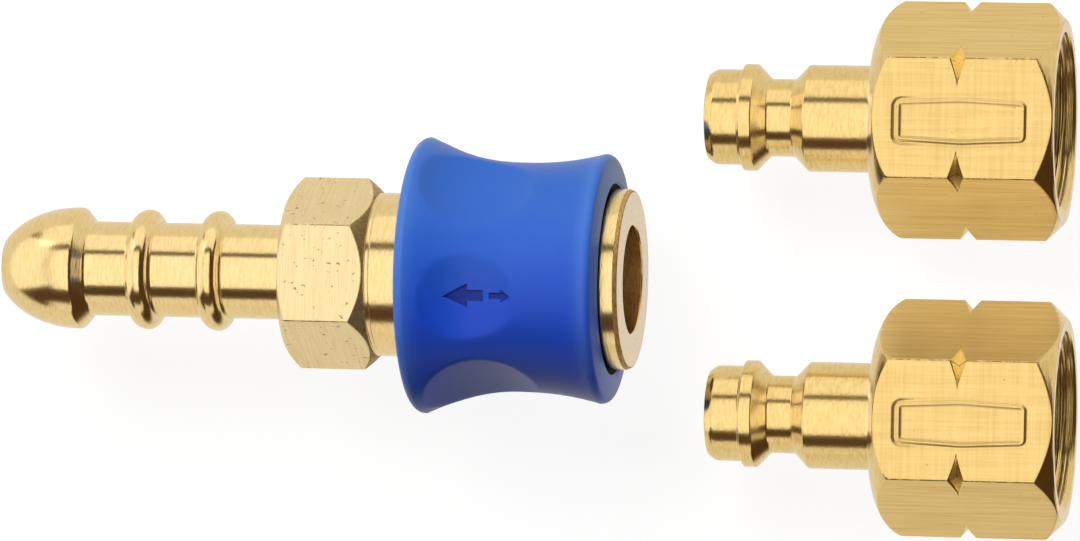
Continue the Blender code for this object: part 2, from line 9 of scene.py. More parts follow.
import bmesh
import bpy
import numpy as np
from mathutils import Matrix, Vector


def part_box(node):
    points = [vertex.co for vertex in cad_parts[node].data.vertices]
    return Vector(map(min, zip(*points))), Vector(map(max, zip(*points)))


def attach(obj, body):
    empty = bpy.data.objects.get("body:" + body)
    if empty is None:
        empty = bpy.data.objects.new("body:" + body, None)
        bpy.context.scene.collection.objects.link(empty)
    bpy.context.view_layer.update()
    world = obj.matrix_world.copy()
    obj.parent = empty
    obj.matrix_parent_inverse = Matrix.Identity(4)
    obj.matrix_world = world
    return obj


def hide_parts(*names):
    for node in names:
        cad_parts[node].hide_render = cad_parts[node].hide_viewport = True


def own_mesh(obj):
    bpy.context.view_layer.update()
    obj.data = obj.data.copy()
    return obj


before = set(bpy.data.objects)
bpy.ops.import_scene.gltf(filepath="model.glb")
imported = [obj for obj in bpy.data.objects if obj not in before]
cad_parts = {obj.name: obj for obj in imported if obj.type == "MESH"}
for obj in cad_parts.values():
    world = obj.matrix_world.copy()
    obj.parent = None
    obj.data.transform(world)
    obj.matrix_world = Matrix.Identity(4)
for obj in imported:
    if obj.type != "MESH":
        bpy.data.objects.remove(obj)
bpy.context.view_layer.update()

MM = 0.001


# Hose tail
# A hexagon brass bar turned down in a lathe: a rounded nose barb and two beads grip the rubber hose, and
# the collar in front of the hexagon goes under the sleeve, where the socket body screws into it.

tail_low, tail_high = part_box("hose_tail")
sleeve_low, sleeve_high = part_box("release_sleeve")
coupling_axis = (0.0, (sleeve_low.y + sleeve_high.y) / 2, (sleeve_low.z + sleeve_high.z) / 2)

TAIL_LENGTH = 27.55 * MM
TUBE_RADIUS = 4.40 * MM
TAIL_BORE_RADIUS = 2.25 * MM
BARB_CREST = 6.90 * MM
BARB_RADIUS = 5.675 * MM
BARB_END_RADIUS = 2.75 * MM
BARB_LAND = 0.35 * MM
BARB_BACK = 1.10 * MM
BEAD_PITCH = 6.75 * MM
BEAD_RADIUS = 5.60 * MM
BEAD_REAR = 1.40 * MM
BEAD_FRONT = 1.05 * MM
TAIL_HEX_LENGTH = 8.20 * MM
TAIL_HEX_FLATS = 15.5 * MM
TAIL_REAR_CHAMFER = 0.75 * MM
COLLAR_RADIUS = 7.60 * MM
COLLAR_BORE_RADIUS = 5.25 * MM
COLLAR_BORE_DEPTH = 4.0 * MM
COLLAR_BORE_BOTTOM = 5.3 * MM
TAIL_BORE_CHAMFER = 0.25 * MM
UNDERCUT_WIDTH = 0.35 * MM
UNDERCUT_DEPTH = 0.22 * MM
HEX_CORNER_EASE = 0.20 * MM
CREASE = 0.07 * MM
CREASE_DROP = 0.018 * MM


def eased(corners, steps=5):
    """An outline with rounded corners. Each corner is (along, radius, ease), and its round is the curve
    (1-t)^2 A + 2 t (1-t) C + t^2 B through points A and B that lie ease away from the corner C.
    A point as far again beyond A and B keeps the straight run next to the round flat."""
    places = np.array([corner[:2] for corner in corners])
    t = np.linspace(0, 1, steps + 1)[:, None]
    points = []
    for index, (_, _, ease) in enumerate(corners):
        corner = places[index]
        if ease == 0 or index in (0, len(corners) - 1):
            points.append(corner[None, :])
            continue
        back = places[index - 1] - corner
        ahead = places[index + 1] - corner
        back = back / np.linalg.norm(back)
        ahead = ahead / np.linalg.norm(ahead)
        start = corner + back * ease
        end = corner + ahead * ease
        curve = (1 - t) ** 2 * start + 2 * t * (1 - t) * corner + t ** 2 * end
        points.append(np.vstack([start + back * ease / 2, curve, end + ahead * ease / 2]))
    return np.vstack(points)


def eased_min(first, second, ease):
    """The smaller of two values, blended where they are less than ease apart:
    b + (a - b) h - ease h (1 - h), with h running from 0 to 1 as b - a goes from -ease to ease."""
    h = np.clip(0.5 + 0.5 * (second - first) / ease, 0, 1)
    return second + (first - second) * h - ease * h * (1 - h)


def grid_mesh(name, points, join_rows=True, join_columns=True):
    """A mesh over a grid of points. Each point makes a face with its neighbours in the next row and the
    next column, and the last row and column join the first unless the surface ends there."""
    rows, columns = points.shape[:2]
    here = np.arange(rows * columns).reshape(rows, columns)
    ahead = np.roll(here, -1, axis=0)
    quads = np.stack([here, ahead, np.roll(ahead, -1, axis=1), np.roll(here, -1, axis=1)], axis=-1)
    quads = quads[:rows if join_rows else -1, :columns if join_columns else -1]
    mesh = bpy.data.meshes.new(name)
    mesh.from_pydata(points.reshape(-1, 3), [], quads.reshape(-1, 4).tolist())
    return mesh


def close_poles(mesh):
    """Merges the points of each row that lies in one place, and turns the faces outwards."""
    shape = bmesh.new()
    shape.from_mesh(mesh)
    bmesh.ops.remove_doubles(shape, verts=shape.verts, dist=0.0005 * MM)
    bmesh.ops.recalc_face_normals(shape, faces=shape.faces)
    shape.to_mesh(mesh)
    shape.free()


def round_mesh(name, along, radius, angles, axis, closed=True):
    """A surface carried round an axis parallel to X: row i and column j lie at
    (along, axis y + radius sin angle, axis z + radius cos angle). The rows run from -X to +X outside
    and back inside, and the last row joins the first unless the surface ends in two poles."""
    points = np.stack([along, axis[1] + radius * np.sin(angles), axis[2] + radius * np.cos(angles)], axis=-1)
    mesh = grid_mesh(name, points, join_rows=closed)
    if not closed:
        close_poles(mesh)
    mesh.shade_smooth()
    return mesh


def full_rows(outline, columns):
    """Rows of (along, radius) arrays for a stretch of outline that is the same all round."""
    along = np.repeat(outline[:, :1], columns, axis=1)
    radius = np.repeat(outline[:, 1:], columns, axis=1)
    return along, radius


def add_object(name, data):
    """Puts a mesh, a light or a camera in the scene."""
    new = bpy.data.objects.new(name, data)
    bpy.context.scene.collection.objects.link(new)
    return new


def add_piece(name, mesh, body, materials, nodes):
    """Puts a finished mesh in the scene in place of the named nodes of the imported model."""
    piece = add_object(name, mesh)
    for material in materials:
        mesh.materials.append(material)
    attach(piece, body)
    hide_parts(*nodes)
    return piece


def hexagon_radius(angles, across_flats, ease):
    """Distance from a hexagon's middle to its outline, with a flat facing straight up:
    half the flats over cos(angle from the nearest flat), eased into the next flat at the corners."""
    sector = math.radians(60)
    off = (angles + sector / 2) % sector - sector / 2
    near = across_flats / 2 / np.cos(off)
    far = across_flats / 2 / np.cos(sector - np.abs(off))
    return eased_min(near, far, ease)


def hexagon_angles(extra=()):
    """Columns for a hexagon: close together at its corners, wide apart on its flats."""
    half = np.array([
        0, 2.5, 5, 7.5, 10, 12.5, 15, 17.5, 20, 22, 24, 26, 27.4, 28.3, 28.9, 29.25, 29.5, 29.75])
    off = np.radians(np.concatenate([-half, half, [30.0]]))
    turns = np.radians(60) * np.arange(6)
    angles = (off[None, :] + turns[:, None]).ravel()
    angles = np.concatenate([angles, np.asarray(extra)]) % (2 * math.pi)
    return np.unique(np.round(angles, 6))


def mark_points(mesh, name, values):
    """Stores a number at each point, which a material reads by its name."""
    mesh.attributes.new(name, "FLOAT", "POINT").data.foreach_set("value", values.ravel())


def mark_corners(mesh, angles, rows, first, last):
    """Names the hexagon's corners for its material: 1 on a corner's column, 0 half a degree off it."""
    sector = math.radians(60)
    from_corner = np.abs(angles % sector - sector / 2)
    marks = np.zeros((rows, len(angles)))
    marks[first:last] = np.clip(1 - from_corner / math.radians(0.5), 0, 1)
    mark_points(mesh, "corner", marks)


def between(first, second, shares):
    """Rows at the given shares of the way from one row of places to another."""
    shares = np.asarray(shares)[:, None]
    return first[None, :] * (1 - shares) + second[None, :] * shares


def feed(socket, value):
    """Gives a socket a number, a colour or the output of another node."""
    if isinstance(value, bpy.types.NodeSocket):
        socket.id_data.links.new(value, socket)
    else:
        socket.default_value = value


def set_sockets(target, **values):
    """Feeds a node's sockets by name."""
    for key, value in values.items():
        feed(target.inputs[key.replace("_", " ")], value)


def node(tree, kind, **values):
    """Adds a node and sets its properties and sockets by name."""
    new = tree.nodes.new(kind)
    for key, value in values.items():
        if hasattr(new, key):
            setattr(new, key, value)
        else:
            set_sockets(new, **{key: value})
    return new


def calculate(tree, operation, first, second, clamped=False):
    """The result of a Math node on two numbers or outputs."""
    result = node(tree, "ShaderNodeMath", operation=operation, use_clamp=clamped)
    feed(result.inputs[0], first)
    feed(result.inputs[1], second)
    return result.outputs[0]


def mix_colours(tree, factor, first, second):
    """Goes from the first colour or output to the second as the factor goes from 0 to 1."""
    mix = node(tree, "ShaderNodeMix", data_type="RGBA", Factor=factor)
    for index, colour in ((6, first), (7, second)):
        feed(mix.inputs[index], (*colour, 1.0) if isinstance(colour, tuple) else colour)
    return mix.outputs[2]


def noise_value(tree, per_metre, detail, roughness, **values):
    """Noise over Object coordinates, a value round a half."""
    place = node(tree, "ShaderNodeTexCoord").outputs["Object"]
    noise = node(
        tree, "ShaderNodeTexNoise", Vector=place, Scale=per_metre, Detail=detail, Roughness=roughness,
        **values)
    return noise.outputs["Fac"]


def rescale(tree, value, **values):
    """Carries a value from one range to another, and holds it at the ends."""
    return node(tree, "ShaderNodeMapRange", Value=value, **values).outputs["Result"]


def bump(tree, strength, depth, height, **values):
    """The normal of a surface with a relief of this depth."""
    relief = node(tree, "ShaderNodeBump", Strength=strength, Distance=depth, Height=height, **values)
    return relief.outputs["Normal"]


def effect_group(name, inputs, output):
    """An empty node group of plain numbers, with its input and output nodes."""
    group = bpy.data.node_groups.new(name, "ShaderNodeTree")
    for entry in inputs:
        group.interface.new_socket(entry, in_out="INPUT", socket_type="NodeSocketFloat")
    group.interface.new_socket(output, in_out="OUTPUT", socket_type="NodeSocketFloat")
    return group, group.nodes.new("NodeGroupInput"), group.nodes.new("NodeGroupOutput")


def turning_marks_group():
    """The fine grooves that a lathe tool leaves round a piece, a height over Object coordinates.
    The noise is drawn fast along X and slowly round the piece."""
    group, entry, result = effect_group("turning marks", ("Per Metre Along", "Per Metre Across"), "Height")
    place = node(group, "ShaderNodeTexCoord").outputs["Object"]
    across = entry.outputs["Per Metre Across"]
    scale = node(group, "ShaderNodeCombineXYZ", X=entry.outputs["Per Metre Along"], Y=across, Z=across)
    stretched = node(group, "ShaderNodeVectorMath", operation="MULTIPLY", Vector=place)
    feed(stretched.inputs[1], scale.outputs[0])
    noise = node(
        group, "ShaderNodeTexNoise", Vector=stretched.outputs[0], Scale=1.0, Detail=3.0, Roughness=0.6)
    set_sockets(result, Height=noise.outputs["Fac"])
    return group


def pits_group():
    """Small dents and scratches of handling, as a mask that is 1 in a pit, over Object coordinates."""
    group, entry, result = effect_group("pits", ("Per Metre", "Share"), "Mask")
    noise = noise_value(group, entry.outputs["Per Metre"], 2.0, 0.7, Distortion=0.6)
    level = calculate(group, "SUBTRACT", noise, entry.outputs["Share"])
    set_sockets(result, Mask=calculate(group, "MULTIPLY", level, 14.0, clamped=True))
    return group


def new_material(name):
    """An empty material, with its node tree and its shader."""
    material = bpy.data.materials.new(name)
    material.use_nodes = True
    return material, material.node_tree, material.node_tree.nodes["Principled BSDF"]


turning_marks = turning_marks_group()
pits = pits_group()

PITS_PER_METRE = 2300.0
PIT_DEPTH = 0.02 * MM
CRUMBS_PER_METRE = 1500.0
STAIN_BROWN = (0.25, 0.12, 0.03)
BRASS_SEEN_IN_BRASS = (0.97, 0.89, 0.72)


def brass_material(name, colour, streak, roughness, marks, depth, pit_share):
    """Brass with fine lines left by tool or die, drawn as darker streaks and as relief, and with small
    brown pits and a broken brown line on marked corners. Each entry of marks is (per metre along X, per
    metre across), and two are averaged. Where one piece is seen in another it is paler, so that flats
    that face each other don't turn orange."""
    material, tree, shader = new_material(name)
    height = None
    for along, across in marks:
        lines = node(
            tree, "ShaderNodeGroup", node_tree=turning_marks, Per_Metre_Along=along, Per_Metre_Across=across)
        if height is None:
            height = lines.outputs["Height"]
        else:
            both = calculate(tree, "ADD", height, lines.outputs["Height"])
            height = calculate(tree, "MULTIPLY", both, 0.5)
    streaked = mix_colours(tree, rescale(tree, height, From_Min=0.34, From_Max=0.56), streak, colour)
    holes = node(tree, "ShaderNodeGroup", node_tree=pits, Per_Metre=PITS_PER_METRE, Share=pit_share)
    dents = holes.outputs["Mask"]
    crumbs = rescale(tree, noise_value(tree, CRUMBS_PER_METRE, 3.0, 0.7), From_Min=0.44, From_Max=0.52)
    corner = node(tree, "ShaderNodeAttribute", attribute_name="corner").outputs["Fac"]
    stain = calculate(tree, "MAXIMUM", dents, calculate(tree, "MULTIPLY", crumbs, corner))
    stained = mix_colours(tree, stain, streaked, STAIN_BROWN)
    seen_again = node(tree, "ShaderNodeLightPath").outputs["Is Glossy Ray"]
    set_sockets(
        shader, Metallic=1.0, Base_Color=mix_colours(tree, seen_again, stained, BRASS_SEEN_IN_BRASS),
        Roughness=rescale(tree, height, To_Min=roughness * 1.25, To_Max=roughness * 0.8),
        Normal=bump(tree, 0.6, -PIT_DEPTH, dents, Normal=bump(tree, 1.0, depth, height)))
    return material


turned_brass = brass_material(
    "turned pale brass", (0.92, 0.71, 0.34), (0.86, 0.62, 0.25),
    roughness=0.17, marks=[(5200.0, 900.0)], depth=0.012 * MM, pit_share=0.80)
drawn_brass = brass_material(
    "drawn pale brass", (0.93, 0.76, 0.42), (0.86, 0.67, 0.34),
    roughness=0.36, marks=[(7500.0, 260.0)], depth=0.012 * MM, pit_share=0.655)
# Partly painted sheen: the mouth face is drawn paler and less yellow, standing in for its bright grazing
# reflection; its marks and roughness are its faced finish.
faced_brass_with_sheen = brass_material(
    "faced brass with painted sheen", (0.93, 0.79, 0.57), (0.88, 0.72, 0.48),
    roughness=0.34, marks=[(900.0, 2600.0)], depth=0.008 * MM, pit_share=0.74)
rough_brass = brass_material(
    "rough cut brass", (0.74, 0.50, 0.18), (0.50, 0.31, 0.09),
    roughness=0.55, marks=[(5200.0, 2600.0)], depth=0.022 * MM, pit_share=0.66)


def bead_outline(crest):
    """A bead: a quarter ellipse on its gentle rear side and one on its steeper front side, with the
    bare tube beside it."""
    t = np.linspace(0, math.pi / 2, 12)
    height = BEAD_RADIUS - TUBE_RADIUS
    rear = np.column_stack([crest - BEAD_REAR * np.cos(t), TUBE_RADIUS + height * np.sin(t)])
    front = np.column_stack([crest + BEAD_FRONT * np.sin(t), TUBE_RADIUS + height * np.cos(t)])
    before = [[crest - BEAD_REAR - CREASE, TUBE_RADIUS]]
    after = [[crest + BEAD_FRONT + CREASE, TUBE_RADIUS]]
    return np.vstack([before, rear, front[1:], after])


def make_hose_tail():
    """Rows from the nose to the hexagon, the hexagon between its chamfers, and the collar and back
    through the bore. The nose is an ellipse, half length cos t behind the crest and barb radius sin t
    out. A chamfer ends where its cone meets the hexagon."""
    angles = hexagon_angles()
    columns = len(angles)
    hexagon = hexagon_radius(angles, TAIL_HEX_FLATS, HEX_CORNER_EASE)
    end = tail_low.x
    crest = end + BARB_CREST
    hex_rear = end + TAIL_LENGTH
    hex_front = hex_rear + TAIL_HEX_LENGTH
    collar_end = tail_high.x
    half_length = BARB_CREST / math.sqrt(1 - (BARB_END_RADIUS / BARB_RADIUS) ** 2)
    t = np.linspace(math.acos(BARB_CREST / half_length), math.pi / 2, 26)
    nose = np.column_stack([crest - half_length * np.cos(t), BARB_RADIUS * np.sin(t)])
    barb = eased([
        (crest - 0.1 * MM, BARB_RADIUS, 0),
        (crest + BARB_LAND, BARB_RADIUS, 0.22 * MM),
        (crest + BARB_LAND + BARB_BACK, TUBE_RADIUS, 0.18 * MM),
        (crest + 3.5 * MM, TUBE_RADIUS, 0),
    ])
    tube_end = eased([
        (crest + 2.6 * BEAD_PITCH, TUBE_RADIUS, 0),
        (hex_rear, TUBE_RADIUS, 0.12 * MM),
        (hex_rear, COLLAR_RADIUS - 0.3 * MM, 0),
    ])
    before = np.vstack([
        [[end, TAIL_BORE_RADIUS + TAIL_BORE_CHAMFER]], nose[:-1], barb[1:],
        bead_outline(crest + BEAD_PITCH), bead_outline(crest + 2 * BEAD_PITCH), tube_end,
    ])
    along_before, radius_before = full_rows(before, columns)
    corner = TAIL_HEX_FLATS / math.sqrt(3)
    rear_slope = TAIL_REAR_CHAMFER / (corner - TAIL_HEX_FLATS / 2)
    rear_crease = hex_rear + (hexagon - COLLAR_RADIUS) * rear_slope
    front_crease = hex_front - (hexagon - COLLAR_RADIUS)
    rear_ring = np.full(columns, hex_rear)
    front_ring = np.full(columns, hex_front)
    ring = np.full(columns, COLLAR_RADIUS)
    along_hex = np.vstack([
        rear_ring, between(rear_ring, rear_crease, [0.5, 1.0]) - [[0], [CREASE / 3]],
        rear_crease + CREASE / 4, rear_crease + CREASE, rear_crease + 3 * CREASE,
        front_crease - 3 * CREASE, front_crease - CREASE, front_crease,
        front_crease + CREASE, between(front_crease, front_ring, [0.5]), front_ring - CREASE / 2,
    ])
    radius_hex = np.vstack([
        ring, between(ring, hexagon, [0.5, 1.0]) - [[0], [CREASE_DROP * 1.6]],
        hexagon - CREASE_DROP, hexagon, hexagon,
        hexagon, hexagon, hexagon - CREASE_DROP,
        hexagon - CREASE, between(hexagon, ring, [0.5]), ring + CREASE / 2,
    ])
    after = np.vstack([
        eased([
            (hex_front + 0.01 * MM, COLLAR_RADIUS - 0.02 * MM, 0),
            (hex_front + 0.06 * MM, COLLAR_RADIUS - UNDERCUT_DEPTH, 0.04 * MM),
            (hex_front + UNDERCUT_WIDTH, COLLAR_RADIUS - UNDERCUT_DEPTH, 0.04 * MM),
            (hex_front + UNDERCUT_WIDTH + 0.12 * MM, COLLAR_RADIUS, 0.05 * MM),
            (collar_end, COLLAR_RADIUS, 0.1 * MM),
            (collar_end, COLLAR_BORE_RADIUS, 0),
        ]),
        [[collar_end - COLLAR_BORE_DEPTH, COLLAR_BORE_RADIUS]],
        [[collar_end - COLLAR_BORE_BOTTOM, TAIL_BORE_RADIUS]],
        eased([
            (end + 2 * MM, TAIL_BORE_RADIUS, 0),
            (end + TAIL_BORE_CHAMFER, TAIL_BORE_RADIUS, 0.1 * MM),
            (end, TAIL_BORE_RADIUS + TAIL_BORE_CHAMFER, 0),
        ])[:-1],
    ])
    along_after, radius_after = full_rows(after, columns)
    along = np.vstack([along_before, along_hex, along_after])
    radius = np.vstack([radius_before, radius_hex, radius_after])
    mesh = round_mesh("hose_tail_brass", along, radius, angles, coupling_axis)
    add_piece(
        "hose_tail_brass", mesh, "root", [turned_brass, drawn_brass, rough_brass], ["hose_tail"])
    first = len(along_before)
    last = first + len(along_hex)
    slots = np.zeros(len(along), int)
    slots[first:last] = 1
    slots[last - 4:last] = 2
    mark_corners(mesh, angles, len(along), first + 3, last - 4)
    mesh.polygons.foreach_set("material_index", np.repeat(slots, columns))


make_hose_tail()


# Socket body
# The brass body screws into the collar. Its mouth ring stops the sleeve, its bore takes the plug's nose,
# and six holes drilled through its wall hold the locking balls.

body_low, body_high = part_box("socket_body")
mouth = body_high.x

MOUTH_RING_RADIUS = 8.35 * MM
MOUTH_RING_WIDTH = 1.70 * MM
MOUTH_EDGE_WIDTH = 0.42 * MM
MOUTH_EDGE_DEPTH = 0.16 * MM
BODY_RADIUS = 6.40 * MM
BORE_RADIUS = 5.00 * MM
MOUTH_BORE_EASE = 0.12 * MM
NOSE_BORE_RADIUS = 4.55 * MM
NOSE_BORE_PLACE = -11.80 * MM
SEAL_GROOVE_PLACE = -13.00 * MM
SEAL_GROOVE_HALF = 0.70 * MM
SEAL_GROOVE_RADIUS = 5.65 * MM
SEAT_LIP_FRONT = -15.15 * MM
SEAT_LIP_REAR = -16.05 * MM
SEAT_LIP_RADIUS = 3.70 * MM
CHAMBER_RADIUS = 4.95 * MM
SPIGOT_RADIUS = 5.70 * MM
BODY_SHOULDER = -18.10 * MM
BALL_PLACE = -7.65 * MM
BALL_HOLE_RADIUS = 1.60 * MM
BALL_DRILL_LENGTH = 2.4 * MM
BALL_COUNT = 6


# Painted shade: the bore is drawn in darker, redder brass than the outside, standing in for the dim light
# deep inside it.
shaded_bore_brass = brass_material(
    "bore brass with painted shade", (0.80, 0.44, 0.17), (0.70, 0.34, 0.11),
    roughness=0.27, marks=[(3600.0, 900.0)], depth=0.012 * MM, pit_share=0.80)


def make_socket_body():
    """An outline carried round the axis, with six round holes drilled through its wall."""
    angles = np.radians(np.arange(0, 360, 2.0))
    spigot_end = body_low.x
    shoulder = mouth + BODY_SHOULDER
    ring_rear = mouth - MOUTH_RING_WIDTH
    groove_rear = mouth + SEAL_GROOVE_PLACE - SEAL_GROOVE_HALF
    groove_front = mouth + SEAL_GROOVE_PLACE + SEAL_GROOVE_HALF
    lip_front = mouth + SEAT_LIP_FRONT
    lip_rear = mouth + SEAT_LIP_REAR
    outline = eased([
        (spigot_end, CHAMBER_RADIUS, 0),
        (spigot_end, SPIGOT_RADIUS, 0.1 * MM),
        (shoulder, SPIGOT_RADIUS, 0.05 * MM),
        (shoulder, BODY_RADIUS, 0.1 * MM),
        *[(mouth + BALL_PLACE + step * MM, BODY_RADIUS, 0) for step in (-3, 0, 3)],
        (ring_rear, BODY_RADIUS, 0.1 * MM),
        (ring_rear, MOUTH_RING_RADIUS, 0.08 * MM),
        (mouth - MOUTH_EDGE_WIDTH, MOUTH_RING_RADIUS, 0.05 * MM),
        (mouth - 0.06 * MM, MOUTH_RING_RADIUS - MOUTH_EDGE_DEPTH, 0.05 * MM),
        (mouth, MOUTH_RING_RADIUS - MOUTH_EDGE_DEPTH - 0.10 * MM, 0.05 * MM),
        (mouth, BORE_RADIUS + MOUTH_BORE_EASE, 0.03 * MM),
        (mouth - MOUTH_BORE_EASE, BORE_RADIUS, 0.03 * MM),
        *[(mouth + BALL_PLACE + step * MM, BORE_RADIUS, 0) for step in (3, 0, -3)],
        (mouth + NOSE_BORE_PLACE + 0.45 * MM, BORE_RADIUS, 0.05 * MM),
        (mouth + NOSE_BORE_PLACE, NOSE_BORE_RADIUS, 0.05 * MM),
        (groove_front, NOSE_BORE_RADIUS, 0.05 * MM),
        (groove_front, SEAL_GROOVE_RADIUS, 0.05 * MM),
        (groove_rear, SEAL_GROOVE_RADIUS, 0.05 * MM),
        (groove_rear, NOSE_BORE_RADIUS, 0.05 * MM),
        (lip_front, NOSE_BORE_RADIUS, 0.05 * MM),
        (lip_front, SEAT_LIP_RADIUS, 0.05 * MM),
        (lip_rear, SEAT_LIP_RADIUS, 0.05 * MM),
        (lip_rear, CHAMBER_RADIUS, 0.05 * MM),
        (spigot_end, CHAMBER_RADIUS, 0),
    ], 3)[:-1]
    along, radius = full_rows(outline, len(angles))
    mesh = round_mesh("socket_body_brass", along, radius, angles, coupling_axis)
    shape = bmesh.new()
    for index in range(BALL_COUNT):
        spin = Matrix.Rotation(-2 * math.pi * index / BALL_COUNT, 4, "X")
        move = Matrix.Translation((mouth + BALL_PLACE, 0, (BODY_RADIUS + BORE_RADIUS) / 2))
        bmesh.ops.create_cone(
            shape, cap_ends=True, segments=48, radius1=BALL_HOLE_RADIUS, radius2=BALL_HOLE_RADIUS,
            depth=BALL_DRILL_LENGTH, matrix=Matrix.Translation(coupling_axis) @ spin @ move)
    drill_mesh = bpy.data.meshes.new("ball drills")
    shape.to_mesh(drill_mesh)
    shape.free()
    drills = add_object("ball drills", drill_mesh)
    blank = add_object("socket body blank", mesh)
    drilled = blank.modifiers.new("ball holes", "BOOLEAN")
    drilled.operation = "DIFFERENCE"
    drilled.solver = "EXACT"
    drilled.object = drills
    bpy.context.view_layer.update()
    graph = bpy.context.evaluated_depsgraph_get()
    finished = bpy.data.meshes.new_from_object(blank.evaluated_get(graph))
    bpy.data.objects.remove(drills)
    bpy.data.objects.remove(blank)
    finished.set_sharp_from_angle(angle=math.radians(35))
    add_piece(
        "socket_body_brass", finished, "root",
        [turned_brass, rough_brass, faced_brass_with_sheen, shaded_bore_brass], ["socket_body"])
    middles = np.empty(len(finished.polygons) * 3)
    finished.polygons.foreach_get("center", middles)
    x, y, z = middles.reshape(-1, 3).T
    out = np.hypot(y - coupling_axis[1], z - coupling_axis[2])
    face_radius = MOUTH_RING_RADIUS - MOUTH_EDGE_DEPTH - 0.11 * MM
    edge = (x > mouth - MOUTH_EDGE_WIDTH) & (out > face_radius)
    face = (x > mouth - 0.03 * MM) & (out > BORE_RADIUS + MOUTH_BORE_EASE) & (out < face_radius)
    bore = (x < mouth - 0.02 * MM) & (out < BORE_RADIUS + 0.02 * MM)
    finished.polygons.foreach_set("material_index", 1 * edge + 2 * face + 3 * bore)


make_socket_body()


# Locking balls
# Six hardened steel balls sit in the holes of the body. They lock in the plug's groove, and go outwards
# when the sleeve is pulled back.

BALL_RADIUS = 1.50 * MM


def metal_material(name, colour, roughness, relief_depth):
    """Plain bright metal with cloudy roughness and a very fine relief."""
    material, tree, shader = new_material(name)
    cloud = noise_value(tree, 1800.0, 3.0, 0.6)
    set_sockets(
        shader, Metallic=1.0, Base_Color=(*colour, 1.0),
        Roughness=rescale(tree, cloud, To_Min=roughness * 0.6, To_Max=roughness * 1.4),
        Normal=bump(tree, 0.5, relief_depth, cloud))
    return material


ball_steel = metal_material(
    "polished ball steel", (0.62, 0.62, 0.61), roughness=0.10, relief_depth=0.001 * MM)


def make_locking_balls():
    """Each ball is a half circle of rows, radius R sin t at R cos t along, carried round."""
    t = np.linspace(0, math.pi, 33)
    angles = np.radians(np.arange(0, 360, 7.5))
    for index in range(BALL_COUNT):
        low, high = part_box(f"locking_ball_{index + 1}")
        centre = (low + high) / 2
        half_circle = np.column_stack([centre.x - BALL_RADIUS * np.cos(t), BALL_RADIUS * np.sin(t)])
        along, radius = full_rows(half_circle, len(angles))
        name = f"locking_ball_steel_{index + 1}"
        mesh = round_mesh(name, along, radius, angles, centre, closed=False)
        add_piece(name, mesh, f"ball_{index + 1}", [ball_steel], [f"locking_ball_{index + 1}"])


make_locking_balls()


# Valve, seals and liner
# The plug's nose pushes the valve's crown, which lifts its rubber seal off the body's lip. An O-ring seals
# the nose and a flat ring the body. A liner in the sleeve, near black as painted shade, tied by a wire ring,
# guides the balls.

def rubber_material():
    """Black rubber: dull, with a dusty bloom in patches and a faint moulded grain."""
    material, tree, shader = new_material("black seal rubber")
    bloom = noise_value(tree, 900.0, 4.0, 0.6)
    set_sockets(
        shader, Roughness=0.62, Normal=bump(tree, 0.4, 0.01 * MM, bloom),
        Base_Color=mix_colours(tree, bloom, (0.012, 0.012, 0.013), (0.040, 0.039, 0.038)))
    return material


seal_rubber = rubber_material()
spring_wire = metal_material(
    "spring wire steel", (0.42, 0.42, 0.43), roughness=0.28, relief_depth=0.003 * MM)
# Painted shade: the liner is drawn near black because it sits in the dark gap between the sleeve and the
# mouth ring.
shaded_liner_steel = metal_material(
    "liner steel darkened as painted shade", (0.09, 0.085, 0.08), roughness=0.40, relief_depth=0.002 * MM)
set_sockets(shaded_liner_steel.node_tree.nodes["Principled BSDF"], Specular_Tint=(0.2, 0.2, 0.2, 1.0))


def dress_node(name, material):
    """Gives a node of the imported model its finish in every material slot."""
    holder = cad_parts[name]
    for place in holder.material_slots:
        place.material = material


for rubber_node in ("valve_seal", "socket_seal", "body_seal"):
    dress_node(rubber_node, seal_rubber)
dress_node("liner_snap_ring", spring_wire)
dress_node("valve_poppet", turned_brass)
dress_node("sleeve_liner", shaded_liner_steel)


# Springs
# Two compression springs of round steel wire, wound with a closed turn at each end. One pushes the sleeve
# towards the mouth, and the other closes the valve.

CLOSED_TURN_PITCH = 1.15
VALVE_WIRE = 0.60 * MM
VALVE_SPRING_TURNS = 6
SLEEVE_WIRE = 0.70 * MM
SLEEVE_SPRING_TURNS = 4


def make_spring(name, wire, turns):
    """A circle of wire carried round the axis: after u turns its middle is at radius R, u turns round,
    and has climbed one closed pitch for the first and last turn and the open pitch between them."""
    low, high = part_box(name)
    mean_radius = (high.z - low.z - wire) / 2
    first = low.x + wire / 2
    closed_pitch = wire * CLOSED_TURN_PITCH
    open_pitch = (high.x - low.x - wire - 2 * closed_pitch) / (turns - 2)
    turn = np.linspace(0, turns, turns * 60 + 1)
    middle = np.clip(turn - 1, 0, turns - 2)
    climb = first + middle * open_pitch + (turn - middle) * closed_pitch
    turn = np.concatenate([turn[:1], turn, turn[-1:]])
    climb = np.concatenate([climb[:1], climb, climb[-1:]])
    thick = np.full(len(turn), wire / 2)
    thick[[0, -1]] = 0
    around = np.radians(np.arange(0, 360, 30.0))
    along = climb[:, None] + thick[:, None] * np.sin(around)
    radius = mean_radius + thick[:, None] * np.cos(around)
    angle = 2 * math.pi * turn[:, None]
    points = np.stack([
        along, coupling_axis[1] + radius * np.sin(angle), coupling_axis[2] + radius * np.cos(angle)], axis=-1)
    mesh = grid_mesh(f"{name}_wire", points, join_rows=False)
    close_poles(mesh)
    mesh.shade_smooth()
    piece = add_piece(f"{name}_wire", mesh, "root", [spring_wire], [name])
    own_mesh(piece)


make_spring("valve_spring", VALVE_WIRE, VALVE_SPRING_TURNS)
make_spring("sleeve_spring", SLEEVE_WIRE, SLEEVE_SPRING_TURNS)


# Release sleeve
# A grip moulded in blue plastic, waisted and with six finger scoops round it. A big and a small arrow are
# sunk in the scoop that faces up, and in the one opposite.

